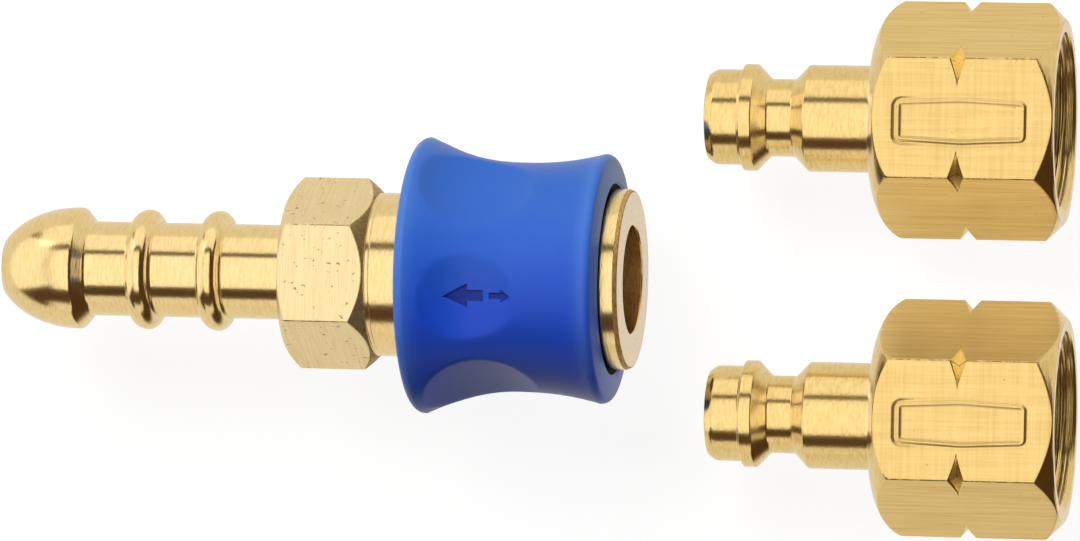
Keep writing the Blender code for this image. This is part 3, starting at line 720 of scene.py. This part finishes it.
SLEEVE_BORE_RADIUS = 8.97 * MM
SLEEVE_OPENING_RADIUS = 8.75 * MM
SLEEVE_SHELF = 0.60 * MM
SLEEVE_EDGE = 0.25 * MM
WAIST_SETBACK = 8.27 * MM
WAIST_RADIUS = 10.63 * MM
MOUTH_RIM_RADIUS = 11.55 * MM
REAR_ROUNDING = 0.85 * MM
MOUTH_CREST_SETBACK = 1.36 * MM
MOUTH_CREASE_SETBACK = 0.62 * MM
MOUTH_CREASE_RADIUS = 11.00 * MM
MOUTH_LIP_SETBACK = 0.30 * MM
MOUTH_LIP_RADIUS = 9.20 * MM
SCOOP_COUNT = 6
SCOOP_RADIUS = 8.90 * MM
SCOOP_DEPTH = 0.90 * MM
ARROW_SCOOP_DEPTH = 0.50 * MM
SCOOP_SETBACK = 10.77 * MM
SCOOP_PHASE = math.radians(-10.5)
SCOOP_EASE = 0.10 * MM
SCOOP_REACH = math.radians(45)
ARROW_DEPTH = 0.16 * MM
ARROW_WALL = 0.07 * MM
RIM_BAND = 1.30 * MM
ARROW_MIDDLE = 1.79 * MM
ARROW_REACH = math.radians(9)
SHADED_NEAR_BLUE = (0.010, 0.085, 0.740)
LIT_FAR_BLUE = (0.032, 0.158, 0.650)
RIM_SHEEN_BLUE = (0.150, 0.350, 0.860)
SUNK_BLUE = (0.006, 0.030, 0.330)

# The arrows as (along from the sleeve's mouth end, across), with their axis at zero
BIG_ARROW = np.array([
    (-14.32, 0.0), (-12.17, 1.13), (-12.17, 0.52), (-10.75, 0.52),
    (-10.75, -0.52), (-12.17, -0.52), (-12.17, -1.13),
]) * MM
SMALL_ARROW = np.array([
    (-10.13, 0.29), (-9.02, 0.29), (-9.02, 0.56), (-8.17, 0.0),
    (-9.02, -0.56), (-9.02, -0.29), (-10.13, -0.29),
]) * MM


def outline_distance(x, y, corners):
    """Signed distance from (x, y) to a closed outline, negative inside: the least distance to its
    sides, and a point is inside when a line from it crosses them an odd number of times."""
    least = np.full(x.shape, 1.0)
    inside = np.zeros(x.shape, bool)
    for start, end in zip(corners, np.roll(corners, -1, axis=0)):
        side = end - start
        share = np.clip(((x - start[0]) * side[0] + (y - start[1]) * side[1]) / (side @ side), 0, 1)
        least = np.minimum(least, np.hypot(x - start[0] - share * side[0], y - start[1] - share * side[1]))
        crosses = (start[1] > y) != (end[1] > y)
        rise = side[1] if side[1] else 1.0
        inside ^= crosses & (x < start[0] + side[0] * (y - start[1]) / rise)
    return np.where(inside, -least, least)


def sag(along, low, high):
    """Height over a circular arc that is level at low and climbs to high."""
    run = high[0] - low[0]
    rise = high[1] - low[1]
    bend = (run * run + rise * rise) / (2 * rise)
    return low[1] + bend - np.sqrt(bend * bend - (along - low[0]) ** 2)


def rounded_bevel(crest, crease, edge):
    """A quarter ellipse, level at the crest and upright at the crease, cut off at 75 degrees where it is
    as steep as the straight cone that goes on to the edge."""
    t = np.linspace(0, math.radians(75), 12)
    along = crest[0] + (crease[0] - crest[0]) * np.sin(t)
    arc = np.column_stack([along, crease[1] + (crest[1] - crease[1]) * np.cos(t)])
    slope = arc[-1] + (np.array(edge) - arc[-1]) * np.array([[0.08], [0.5], [0.95]])
    corner = np.array([[edge[0] - 0.02 * MM, edge[1] + 0.02 * MM]])
    return np.vstack([arc, slope, corner])


def sleeve_plastic_material():
    """Moulded blue plastic: slightly see-through, satin, with a fine spark-eroded grain. Its colour holds
    painted
    light: paler blue on the far side, deeper blue on the near side as painted shade, and paler at its rims
    and mouth face as painted highlight and sheen. It is darker in the sunk arrows."""
    material, tree, shader = new_material("blue sleeve plastic")
    place = node(tree, "ShaderNodeTexCoord").outputs["Object"]
    across = node(tree, "ShaderNodeSeparateXYZ", Vector=place).outputs["Y"]
    # Painted light: the colour runs from a deeper, shaded blue on the near side, -Y, to a paler, lit blue on
    # the far side.
    side = rescale(
        tree, across, interpolation_type="SMOOTHSTEP", From_Min=-8.0 * MM, From_Max=7.0 * MM)
    colour = mix_colours(tree, side, SHADED_NEAR_BLUE, LIT_FAR_BLUE)
    # The rim mark paints highlight and sheen; the sunk mark darkens the arrows.
    for mark, mark_colour in (("rim", RIM_SHEEN_BLUE), ("sunk", SUNK_BLUE)):
        share = node(tree, "ShaderNodeAttribute", attribute_name=mark).outputs["Fac"]
        colour = mix_colours(tree, share, colour, mark_colour)
    grain = noise_value(tree, 7000.0, 2.0, 0.6)
    set_sockets(
        shader, Base_Color=colour, Roughness=rescale(tree, grain, To_Min=0.30, To_Max=0.42),
        Normal=bump(tree, 0.5, 0.004 * MM, grain), Specular_IOR_Level=0.25, Subsurface_Weight=0.35,
        Subsurface_Scale=1.2 * MM, Subsurface_Radius=(0.25, 0.45, 1.0))
    return material


def make_sleeve():
    """Outside, a waist of two arcs between the rims, cut by scoops that are circles seen along the axis's
    side: waist radius - depth + R (1 - sqrt(1 - (along / R)^2)), over cos(angle off the scoop's middle).
    The arrows are sunk by a smooth step of the distance to their outlines."""
    front = sleeve_high.x
    rear = sleeve_low.x
    rim_radius = (sleeve_high.z - sleeve_low.z) / 2
    crest_rear = rear + REAR_ROUNDING
    crest_front = front - MOUTH_CREST_SETBACK
    waist = front - WAIST_SETBACK
    arrow_angle = -math.asin(ARROW_MIDDLE / (WAIST_RADIUS - ARROW_SCOOP_DEPTH))
    # Columns and rows lie close together round the arrows
    arrow_band = np.radians(np.arange(-8.0, 8.01, 0.3))
    angles = np.concatenate([
        np.radians(np.arange(0, 360, 1.5)), arrow_angle + arrow_band, arrow_angle + math.pi + arrow_band])
    angles = np.unique(np.round(angles % (2 * math.pi), 5))
    arrow_run = front + np.arange(-14.6, -7.9, 0.06) * MM
    body_run = np.concatenate([
        np.linspace(crest_rear, front - 14.7 * MM, 24)[1:-1], arrow_run,
        np.linspace(front - 7.8 * MM, crest_front, 44)[:-1]])
    t = np.linspace(0, math.pi / 2, 9)
    rear_round = np.column_stack([
        crest_rear - REAR_ROUNDING * np.cos(t), rim_radius - REAR_ROUNDING + REAR_ROUNDING * np.sin(t)])
    front_round = rounded_bevel(
        (crest_front, MOUTH_RIM_RADIUS), (front - MOUTH_CREASE_SETBACK, MOUTH_CREASE_RADIUS),
        (front - MOUTH_LIP_SETBACK, MOUTH_LIP_RADIUS))
    profile = np.where(
        body_run < waist,
        sag(body_run, (waist, WAIST_RADIUS), (crest_rear, rim_radius)),
        sag(body_run, (waist, WAIST_RADIUS), (crest_front, MOUTH_RIM_RADIUS)))
    outer = np.vstack([rear_round, np.column_stack([body_run, profile]), front_round])
    along, radius = full_rows(outer, len(angles))
    scoop_middle = front - SCOOP_SETBACK
    reach = np.clip(1 - ((along - scoop_middle) / SCOOP_RADIUS) ** 2, 0, 1)
    for index in range(SCOOP_COUNT):
        depth = ARROW_SCOOP_DEPTH if index % (SCOOP_COUNT // 2) == 0 else SCOOP_DEPTH
        off = angles - (SCOOP_PHASE + 2 * math.pi * index / SCOOP_COUNT)
        off = (off + math.pi) % (2 * math.pi) - math.pi
        floor_height = WAIST_RADIUS - depth + SCOOP_RADIUS * (1 - np.sqrt(reach))
        across = np.where(np.abs(off) < SCOOP_REACH, np.cos(off), 0.5)
        scoop = np.where((np.abs(off) < SCOOP_REACH)[None, :], floor_height / across[None, :], 1.0)
        radius = eased_min(radius, scoop, SCOOP_EASE)
    sunk = np.zeros(radius.shape)
    for turn in (0.0, math.pi):
        off = angles - (arrow_angle + turn)
        off = (off + math.pi) % (2 * math.pi) - math.pi
        across = radius * np.sin(off)[None, :]
        near = np.abs(off)[None, :] < ARROW_REACH
        for arrow in (BIG_ARROW, SMALL_ARROW):
            distance = outline_distance(along - front, across, arrow)
            wall = np.clip(0.5 - distance / ARROW_WALL, 0, 1)
            wall = wall * wall * (3 - 2 * wall)
            sunk = np.maximum(sunk, np.where(near, wall, 0))
    radius = radius - ARROW_DEPTH * sunk
    lip = front - MOUTH_LIP_SETBACK
    inner = eased([
        (lip, MOUTH_LIP_RADIUS - 0.03 * MM, 0),
        (lip, SLEEVE_OPENING_RADIUS + SLEEVE_EDGE, 0.1 * MM),
        (lip - SLEEVE_EDGE, SLEEVE_OPENING_RADIUS, 0.1 * MM),
        (front - SLEEVE_SHELF, SLEEVE_OPENING_RADIUS, 0),
        (front - SLEEVE_SHELF, SLEEVE_BORE_RADIUS, 0),
        (rear + SLEEVE_EDGE, SLEEVE_BORE_RADIUS, 0.1 * MM),
        (rear, SLEEVE_BORE_RADIUS + SLEEVE_EDGE, 0.1 * MM),
        (rear, rim_radius - REAR_ROUNDING - 0.1 * MM, 0),
    ])
    along_inner, radius_inner = full_rows(inner, len(angles))
    along = np.vstack([along, along_inner])
    radius = np.vstack([radius, radius_inner])
    sunk = np.vstack([sunk, np.zeros(radius_inner.shape)])
    mesh = round_mesh("release_sleeve_plastic", along, radius, angles, coupling_axis)
    mark_points(mesh, "sunk", sunk)
    # Painted highlight and sheen: the rim mark pales the rear rim, the front crest and the mouth face.
    rim = 0.50 * np.exp(-((along - rear) / RIM_BAND) ** 2)
    rim += 0.25 * np.exp(-((along - crest_front) / (0.6 * RIM_BAND)) ** 2)
    rim += 0.30 * np.clip((along - front + MOUTH_CREASE_SETBACK) / (0.2 * MM), 0, 1)
    mark_points(mesh, "rim", rim)
    add_piece(
        "release_sleeve_plastic", mesh, "sleeve", [sleeve_plastic_material()],
        ["release_sleeve"])


make_sleeve()


# Plugs
# Each plug is turned from hexagon brass bar: a nose that the O-ring grips, a flange and groove for the
# balls, a shoulder, and a hexagon whose notched corners mark the left-hand thread inside it.

NOSE_RADIUS = 4.41 * MM
PLUG_BORE_RADIUS = 2.50 * MM
NOSE_END_RADIUS = 3.96 * MM
NOSE_CHAMFER = 0.68 * MM
FLANGE_RADIUS = 4.93 * MM
FLANGE_START = 3.35 * MM
FLANGE_END = 4.45 * MM
FLANGE_CONE = 0.24 * MM
GROOVE_RADIUS = 3.58 * MM
GROOVE_START = 5.75 * MM
GROOVE_END = 8.05 * MM
SHOULDER_START = 9.35 * MM
PLUG_HEX_START = 15.50 * MM
PLUG_HEX_FLATS = 19.0 * MM
DOME_LENGTH = 3.85 * MM
DOME_START_RADIUS = 5.80 * MM
DOME_RISE = 5.47 * MM
NOTCH_PLACE = 24.25 * MM
NOTCH_DEPTH = 1.00 * MM
NOTCH_HALF_WIDTH = 0.80 * MM
END_CIRCLE_RADIUS = 9.35 * MM
THREAD_MINOR_RADIUS = 7.48 * MM
THREAD_HEIGHT = 0.85 * MM
THREAD_PITCH = 1.337 * MM
THREAD_LEAD_IN = 0.90 * MM
THREAD_DEPTH = 11.8 * MM
THREAD_START = 2.6 * MM
THREAD_STEP = 0.085 * MM
PANEL_START = 18.86 * MM
PANEL_END = 30.31 * MM
PANEL_HALF_MIDDLE = 1.915 * MM
PANEL_HALF_END = 1.63 * MM
PANEL_OFFSET = -0.28 * MM
PANEL_LINE = 0.19 * MM
PANEL_RELIEF = 0.12 * MM
PANEL_REACH = math.radians(25)
TOP_FLAT_REACH = math.radians(29.9)


plug_turned_brass = brass_material(
    "turned golden brass", (0.88, 0.66, 0.27), (0.80, 0.56, 0.20),
    roughness=0.18, marks=[(4600.0, 900.0)], depth=0.014 * MM, pit_share=0.78)
plug_drawn_brass = brass_material(
    "drawn golden brass", (0.89, 0.65, 0.25), (0.79, 0.54, 0.18),
    roughness=0.34, marks=[(130.0, 3600.0), (3400.0, 130.0)], depth=0.014 * MM, pit_share=0.72)
plug_side_brass = brass_material(
    "drawn golden brass, sides", (0.89, 0.65, 0.25), (0.76, 0.51, 0.16),
    roughness=0.34, marks=[(110.0, 3000.0), (90.0, 5200.0)], depth=0.014 * MM, pit_share=0.72)
plug_notch_brass = brass_material(
    "milled brass", (0.90, 0.62, 0.16), (0.84, 0.54, 0.13),
    roughness=0.24, marks=[(110.0, 3000.0)], depth=0.006 * MM, pit_share=0.74)


def thread_radius(along, angles, end):
    """A left-hand thread: its profile is a rounded triangle wave of along / pitch + turn."""
    phase = (along - end) / THREAD_PITCH + angles[None, :] / (2 * math.pi)
    wave = np.abs(phase % 1.0 - 0.5) * 2
    ridge = np.clip((wave - 0.12) / 0.76, 0, 1)
    ridge = 0.35 * ridge + 0.65 * ridge * ridge * (3 - 2 * ridge)
    return THREAD_MINOR_RADIUS + THREAD_HEIGHT * ridge


def panel_relief(along, across):
    """A raised line round a panel whose long sides bulge a little, the panel sunk inside it, and a groove
    outside it that is deepest at the panel's -X end. Line and groove are bells exp(-(distance / width)^2)."""
    middle = (PANEL_START + PANEL_END) / 2
    half_length = (PANEL_END - PANEL_START) / 2
    from_middle = np.abs(along - middle) / half_length
    half_height = PANEL_HALF_MIDDLE + (PANEL_HALF_END - PANEL_HALF_MIDDLE) * np.minimum(from_middle, 1)
    gap_along = np.abs(along - middle) - half_length
    gap_across = np.abs(across - PANEL_OFFSET) - half_height
    corner = 0.35 * MM
    outside = np.hypot(np.maximum(gap_along + corner, 0), np.maximum(gap_across + corner, 0)) - corner
    distance = np.where(
        (gap_along < -corner) & (gap_across < -corner), np.maximum(gap_along, gap_across), outside)
    line = np.exp(-(distance / PANEL_LINE) ** 2)
    groove = np.exp(-((distance - 1.7 * PANEL_LINE) / PANEL_LINE) ** 2)
    groove = groove * (0.5 + 1.1 * np.clip((middle - along) / half_length, 0, 1) ** 6)
    inside = np.clip(-distance / (2 * PANEL_LINE), 0, 1)
    return PANEL_RELIEF * (0.7 * line - groove - 0.4 * inside)


def make_plug(number):
    """Rows from the nose to the hexagon, then a dome, the flats, the end and back through the thread.
    The dome is an ellipse, length (1 - cos t) along and start radius + rise sin t out, up to where it
    meets the hexagon. The flats are the smaller of the hexagon and, at the notches, of a V:
    floor + distance from the notch's middle times depth / half width."""
    low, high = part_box(f"plug_{number}")
    axis = (0.0, (low.y + high.y) / 2, (low.z + high.z) / 2)
    nose = low.x
    end = high.x - low.x
    flat = PLUG_HEX_FLATS / 2
    # Columns and rows lie close together where the panel's line runs
    line_band = np.arange(1.30, 2.66, 0.07) * MM
    panel_columns = np.arctan(np.concatenate([PANEL_OFFSET - line_band, PANEL_OFFSET + line_band]) / flat)
    angles = hexagon_angles(panel_columns)
    columns = len(angles)
    hexagon = hexagon_radius(angles, PLUG_HEX_FLATS, HEX_CORNER_EASE)
    front = eased([
        (0.0, PLUG_BORE_RADIUS + 0.2 * MM, 0),
        (0.0, NOSE_END_RADIUS, 0.12 * MM),
        (NOSE_CHAMFER, NOSE_RADIUS, 0.25 * MM),
        (FLANGE_START - FLANGE_CONE, NOSE_RADIUS, 0.05 * MM),
        (FLANGE_START, FLANGE_RADIUS, 0.08 * MM),
        (FLANGE_END, FLANGE_RADIUS, 0.10 * MM),
        (GROOVE_START, GROOVE_RADIUS, 0.15 * MM),
        (GROOVE_END, GROOVE_RADIUS, 0.15 * MM),
        (SHOULDER_START, FLANGE_RADIUS, 0.12 * MM),
        (PLUG_HEX_START, FLANGE_RADIUS, 0.10 * MM),
        (PLUG_HEX_START, DOME_START_RADIUS - 0.05 * MM, 0),
    ])

    dome_turn = np.arcsin((hexagon - DOME_START_RADIUS) / DOME_RISE)
    turns = between(np.zeros(columns), dome_turn, np.linspace(0, 0.985, 14))
    along_dome = PLUG_HEX_START + DOME_LENGTH * (1 - np.cos(turns))
    radius_dome = DOME_START_RADIUS + DOME_RISE * np.sin(turns)
    dome_crease = PLUG_HEX_START + DOME_LENGTH * (1 - np.cos(dome_turn))

    notch_floor = PLUG_HEX_FLATS / math.sqrt(3) - NOTCH_DEPTH
    notch_half = np.maximum((hexagon - notch_floor) * NOTCH_HALF_WIDTH / NOTCH_DEPTH, 0.05 * MM)
    end_crease = end - (hexagon - END_CIRCLE_RADIUS)
    line_rows = np.arange(-0.77, 0.43, 0.07) * MM
    panel_start_rows = np.repeat((PANEL_START + line_rows)[:, None], columns, axis=1)
    panel_end_rows = np.repeat((PANEL_END - line_rows[::-1])[:, None], columns, axis=1)
    notch_start = NOTCH_PLACE - notch_half
    notch_end = NOTCH_PLACE + notch_half
    notch_middle = np.full(columns, NOTCH_PLACE)
    along_flats = np.vstack([
        dome_crease, dome_crease + CREASE,
        between(dome_crease + CREASE, panel_start_rows[0], [0.3]),
        panel_start_rows,
        between(panel_start_rows[-1], notch_start - CREASE, np.linspace(0, 1, 14)[1:]),
        notch_start,
        between(notch_start, notch_middle, [0.2, 0.9]),
        notch_middle,
        between(notch_middle, notch_end, [0.1, 0.8]),
        notch_end,
        between(notch_end + CREASE, panel_end_rows[0], np.linspace(0, 1, 14)[:-1]),
        panel_end_rows,
        between(panel_end_rows[-1], end_crease - CREASE, [0.5]),
        end_crease - 3 * CREASE, end_crease - CREASE, end_crease,
    ])
    valley = notch_floor + np.abs(along_flats - NOTCH_PLACE) * NOTCH_DEPTH / NOTCH_HALF_WIDTH
    radius_flats = np.minimum(hexagon[None, :], valley)
    radius_flats[0] -= CREASE_DROP
    radius_flats[-1] -= CREASE_DROP
    on_top = np.cos(angles) > math.cos(PANEL_REACH)
    top_angles = np.where(on_top, angles, 0.0)
    relief = panel_relief(along_flats, flat * np.tan(top_angles)[None, :])
    radius_flats = radius_flats + np.where(on_top[None, :], relief / np.cos(top_angles), 0)

    end_ring = np.full(columns, end)
    circle = np.full(columns, END_CIRCLE_RADIUS)
    chamfer_shares = [0.06, 0.2, 0.6, 0.94]
    along_chamfer = between(end_crease, end_ring, chamfer_shares)
    radius_chamfer = between(hexagon, circle, chamfer_shares)
    mouth_radius = THREAD_MINOR_RADIUS + THREAD_LEAD_IN
    rim = eased([
        (end - 0.04 * MM, END_CIRCLE_RADIUS, 0),
        (end, END_CIRCLE_RADIUS - 0.04 * MM, 0.03 * MM),
        (end, mouth_radius, 0.06 * MM),
        (end - 0.12 * MM, mouth_radius - 0.12 * MM, 0),
    ])

    floor = end - THREAD_DEPTH
    thread_line = np.arange(end - 0.2 * MM, floor + THREAD_START, -THREAD_STEP)
    along_thread = np.repeat(thread_line[:, None], columns, axis=1)
    lead_in = mouth_radius - (end - along_thread)
    radius_thread = np.maximum(lead_in, thread_radius(along_thread, angles, end))
    relief_radius = THREAD_MINOR_RADIUS + THREAD_HEIGHT + 0.05 * MM
    back = eased([
        (floor + THREAD_START - 0.1 * MM, relief_radius, 0),
        (floor, relief_radius, 0.2 * MM),
        (floor, PLUG_BORE_RADIUS + 0.15 * MM, 0),
        (floor - 0.15 * MM, PLUG_BORE_RADIUS, 0),
        (0.2 * MM, PLUG_BORE_RADIUS, 0),
        (0.0, PLUG_BORE_RADIUS + 0.2 * MM, 0),
    ])[:-1]

    stretches = [
        full_rows(front, columns), (along_dome, radius_dome), (along_flats, radius_flats),
        (along_chamfer, radius_chamfer), full_rows(rim, columns), (along_thread, radius_thread),
        full_rows(back, columns),
    ]
    along, radius = (np.vstack(rows) for rows in zip(*stretches))
    name = f"plug_{number}_brass"
    mesh = round_mesh(name, along + nose, radius, angles, axis)
    slots = np.zeros(radius.shape, int)
    first = len(front) + len(along_dome)
    last = first + len(along_flats)
    slots[first:last] = np.where(np.cos(angles) > math.cos(TOP_FLAT_REACH), 1, 2)
    # A face lies in a notch where the mean of the V's height over the hexagon at its corners is below 0
    below = np.minimum(valley - hexagon[None, :], 0.2 * MM)
    below = below + np.roll(below, -1, axis=1)
    slots[first:last - 1][below[:-1] + below[1:] < 0] = 3
    mark_corners(mesh, angles, len(along), first, last)
    add_piece(
        name, mesh, f"plug_{number}",
        [plug_turned_brass, plug_drawn_brass, plug_side_brass, plug_notch_brass], [f"plug_{number}"])
    mesh.polygons.foreach_set("material_index", slots.ravel())
    dress_node(f"plug_{number}_washer", seal_rubber)


make_plug(1)
make_plug(2)


# Table, light and camera
# The set lies on a white table. Four broad soft boxes are only seen in the brass, with dark gaps between
# them, and three others, which nothing reflects, light it.

TABLE_SIZE = 3.0
CAMERA_TARGET = (mouth - 9.40 * MM, -0.88 * MM, 9.5 * MM)
CAMERA_DISTANCE = 0.642
CAMERA_YAW = math.radians(11.2)
CAMERA_ROLL = math.radians(1.2)
CAMERA_LENS = 230.0
ROOM_BROWN = (0.080, 0.042, 0.020)
ROOM_WHITE = (0.84, 0.81, 0.76)
NEAR_RIGHT = (0.75, -0.66, 0.0)

# Each light is (name, place, aim, width, height, brightness)
SEEN_IN_BRASS = [
    ("overhead reflection", (-0.16, -0.10, 0.90), (-0.16, -0.10, 0.0), 0.95, 1.42, 1.15),
    ("far side reflection", (0.10, 0.983, 0.41), (0.10, 0.0, 0.0), 2.00, 0.87, 1.05),
    ("near side reflection", (0.0, -1.00, 0.17), (0.0, 0.0, 0.1), 1.20, 0.33, 0.80),
    ("left reflection", (-0.92, 0.175, 0.46), (0.0, 0.175, 0.0), 1.00, 1.65, 1.10),
]
LIGHTING = [
    ("main light", (-0.30, 0.55, 0.75), (0.0, 0.0, 0.0), 0.60, 0.60, 7.50),
    ("near fill", (0.0, -0.90, 0.50), (0.0, 0.0, 0.0), 1.20, 0.50, 0.40),
    ("right fill", (0.75, 0.20, 0.45), (0.0, 0.0, 0.0), 0.50, 0.50, 2.40),
]


def table_material():
    """White card: a plain pale surface with some light of its own towards the camera."""
    material, tree, shader = new_material("white table card")
    path = node(tree, "ShaderNodeLightPath")
    set_sockets(
        shader, Base_Color=(0.14, 0.14, 0.14, 1.0), Roughness=0.9, Specular_IOR_Level=0.0,
        Emission_Color=(1.0, 1.0, 1.0, 1.0),
        Emission_Strength=calculate(tree, "MULTIPLY", path.outputs["Is Camera Ray"], 0.92))
    return material


def make_table():
    """A level square at height 0, which hides from reflections."""
    grid = np.linspace(-TABLE_SIZE / 2, TABLE_SIZE / 2, 9)
    x, y = np.meshgrid(grid, grid, indexing="ij")
    mesh = grid_mesh("table", np.stack([x, y, 0 * x], axis=-1), join_rows=False, join_columns=False)
    mesh.materials.append(table_material())
    table = add_object("table", mesh)
    table.visible_glossy = False


def add_light(name, place, aim, width, height, brightness, in_brass):
    """A soft box that is only seen in the brass, or only lights. Its power is brightness times pi times
    its area, so that it is seen as brightness. It faces its aim, with its height across the Y axis."""
    data = bpy.data.lights.new(name, "AREA")
    data.shape = "RECTANGLE"
    data.size = width
    data.size_y = height
    data.energy = brightness * math.pi * width * height
    lamp = add_object(name, data)
    lamp.visible_glossy = in_brass
    lamp.visible_diffuse = not in_brass
    away = np.array(place) - np.array(aim)
    away = away / np.linalg.norm(away)
    side = np.cross((0.0, 1.0, 0.0), away)
    if np.linalg.norm(side) < 0.01:
        side = np.array((1.0, 0.0, 0.0))
    side = side / np.linalg.norm(side)
    turn = np.eye(4)
    turn[:3] = np.column_stack([side, np.cross(away, side), away, place])
    lamp.matrix_world = Matrix(turn.tolist())


def add_camera():
    """The camera stands off its target by the yaw from straight down, turned by the roll."""
    data = bpy.data.cameras.new("camera")
    data.lens = CAMERA_LENS
    data.sensor_width = 36.0
    camera = add_object("camera", data)
    place = (
        CAMERA_TARGET[0] + CAMERA_DISTANCE * math.sin(CAMERA_YAW),
        CAMERA_TARGET[1],
        CAMERA_TARGET[2] + CAMERA_DISTANCE * math.cos(CAMERA_YAW),
    )
    turn = Matrix.Rotation(CAMERA_YAW, 4, "Y") @ Matrix.Rotation(CAMERA_ROLL, 4, "Z")
    camera.matrix_world = Matrix.Translation(place) @ turn
    bpy.context.scene.camera = camera


make_table()
for light in SEEN_IN_BRASS:
    add_light(*light, in_brass=True)
for light in LIGHTING:
    add_light(*light, in_brass=False)


def studio_world():
    """A dim brown room. Below the table's height it is as pale as the card, and dark towards the near
    right. The light part is the product of two smooth steps of direction."""
    world = bpy.data.worlds.new("studio")
    world.use_nodes = True
    tree = world.node_tree
    direction = node(tree, "ShaderNodeTexCoord").outputs["Generated"]
    height = node(tree, "ShaderNodeSeparateXYZ", Vector=direction).outputs["Z"]
    near_right = node(tree, "ShaderNodeVectorMath", operation="DOT_PRODUCT", Vector=direction)
    near_right.inputs[1].default_value = NEAR_RIGHT
    below = rescale(tree, height, interpolation_type="SMOOTHSTEP", From_Min=0.03, From_Max=-0.05)
    elsewhere = rescale(
        tree, near_right.outputs["Value"], interpolation_type="SMOOTHSTEP",
        From_Min=0.52, From_Max=0.78, To_Min=1.0, To_Max=0.0)
    light = calculate(tree, "MULTIPLY", below, elsewhere)
    set_sockets(tree.nodes["Background"], Color=mix_colours(tree, light, ROOM_BROWN, ROOM_WHITE))
    return world


bpy.context.scene.world = studio_world()
bpy.context.scene.view_settings.view_transform = "Standard"
add_camera()
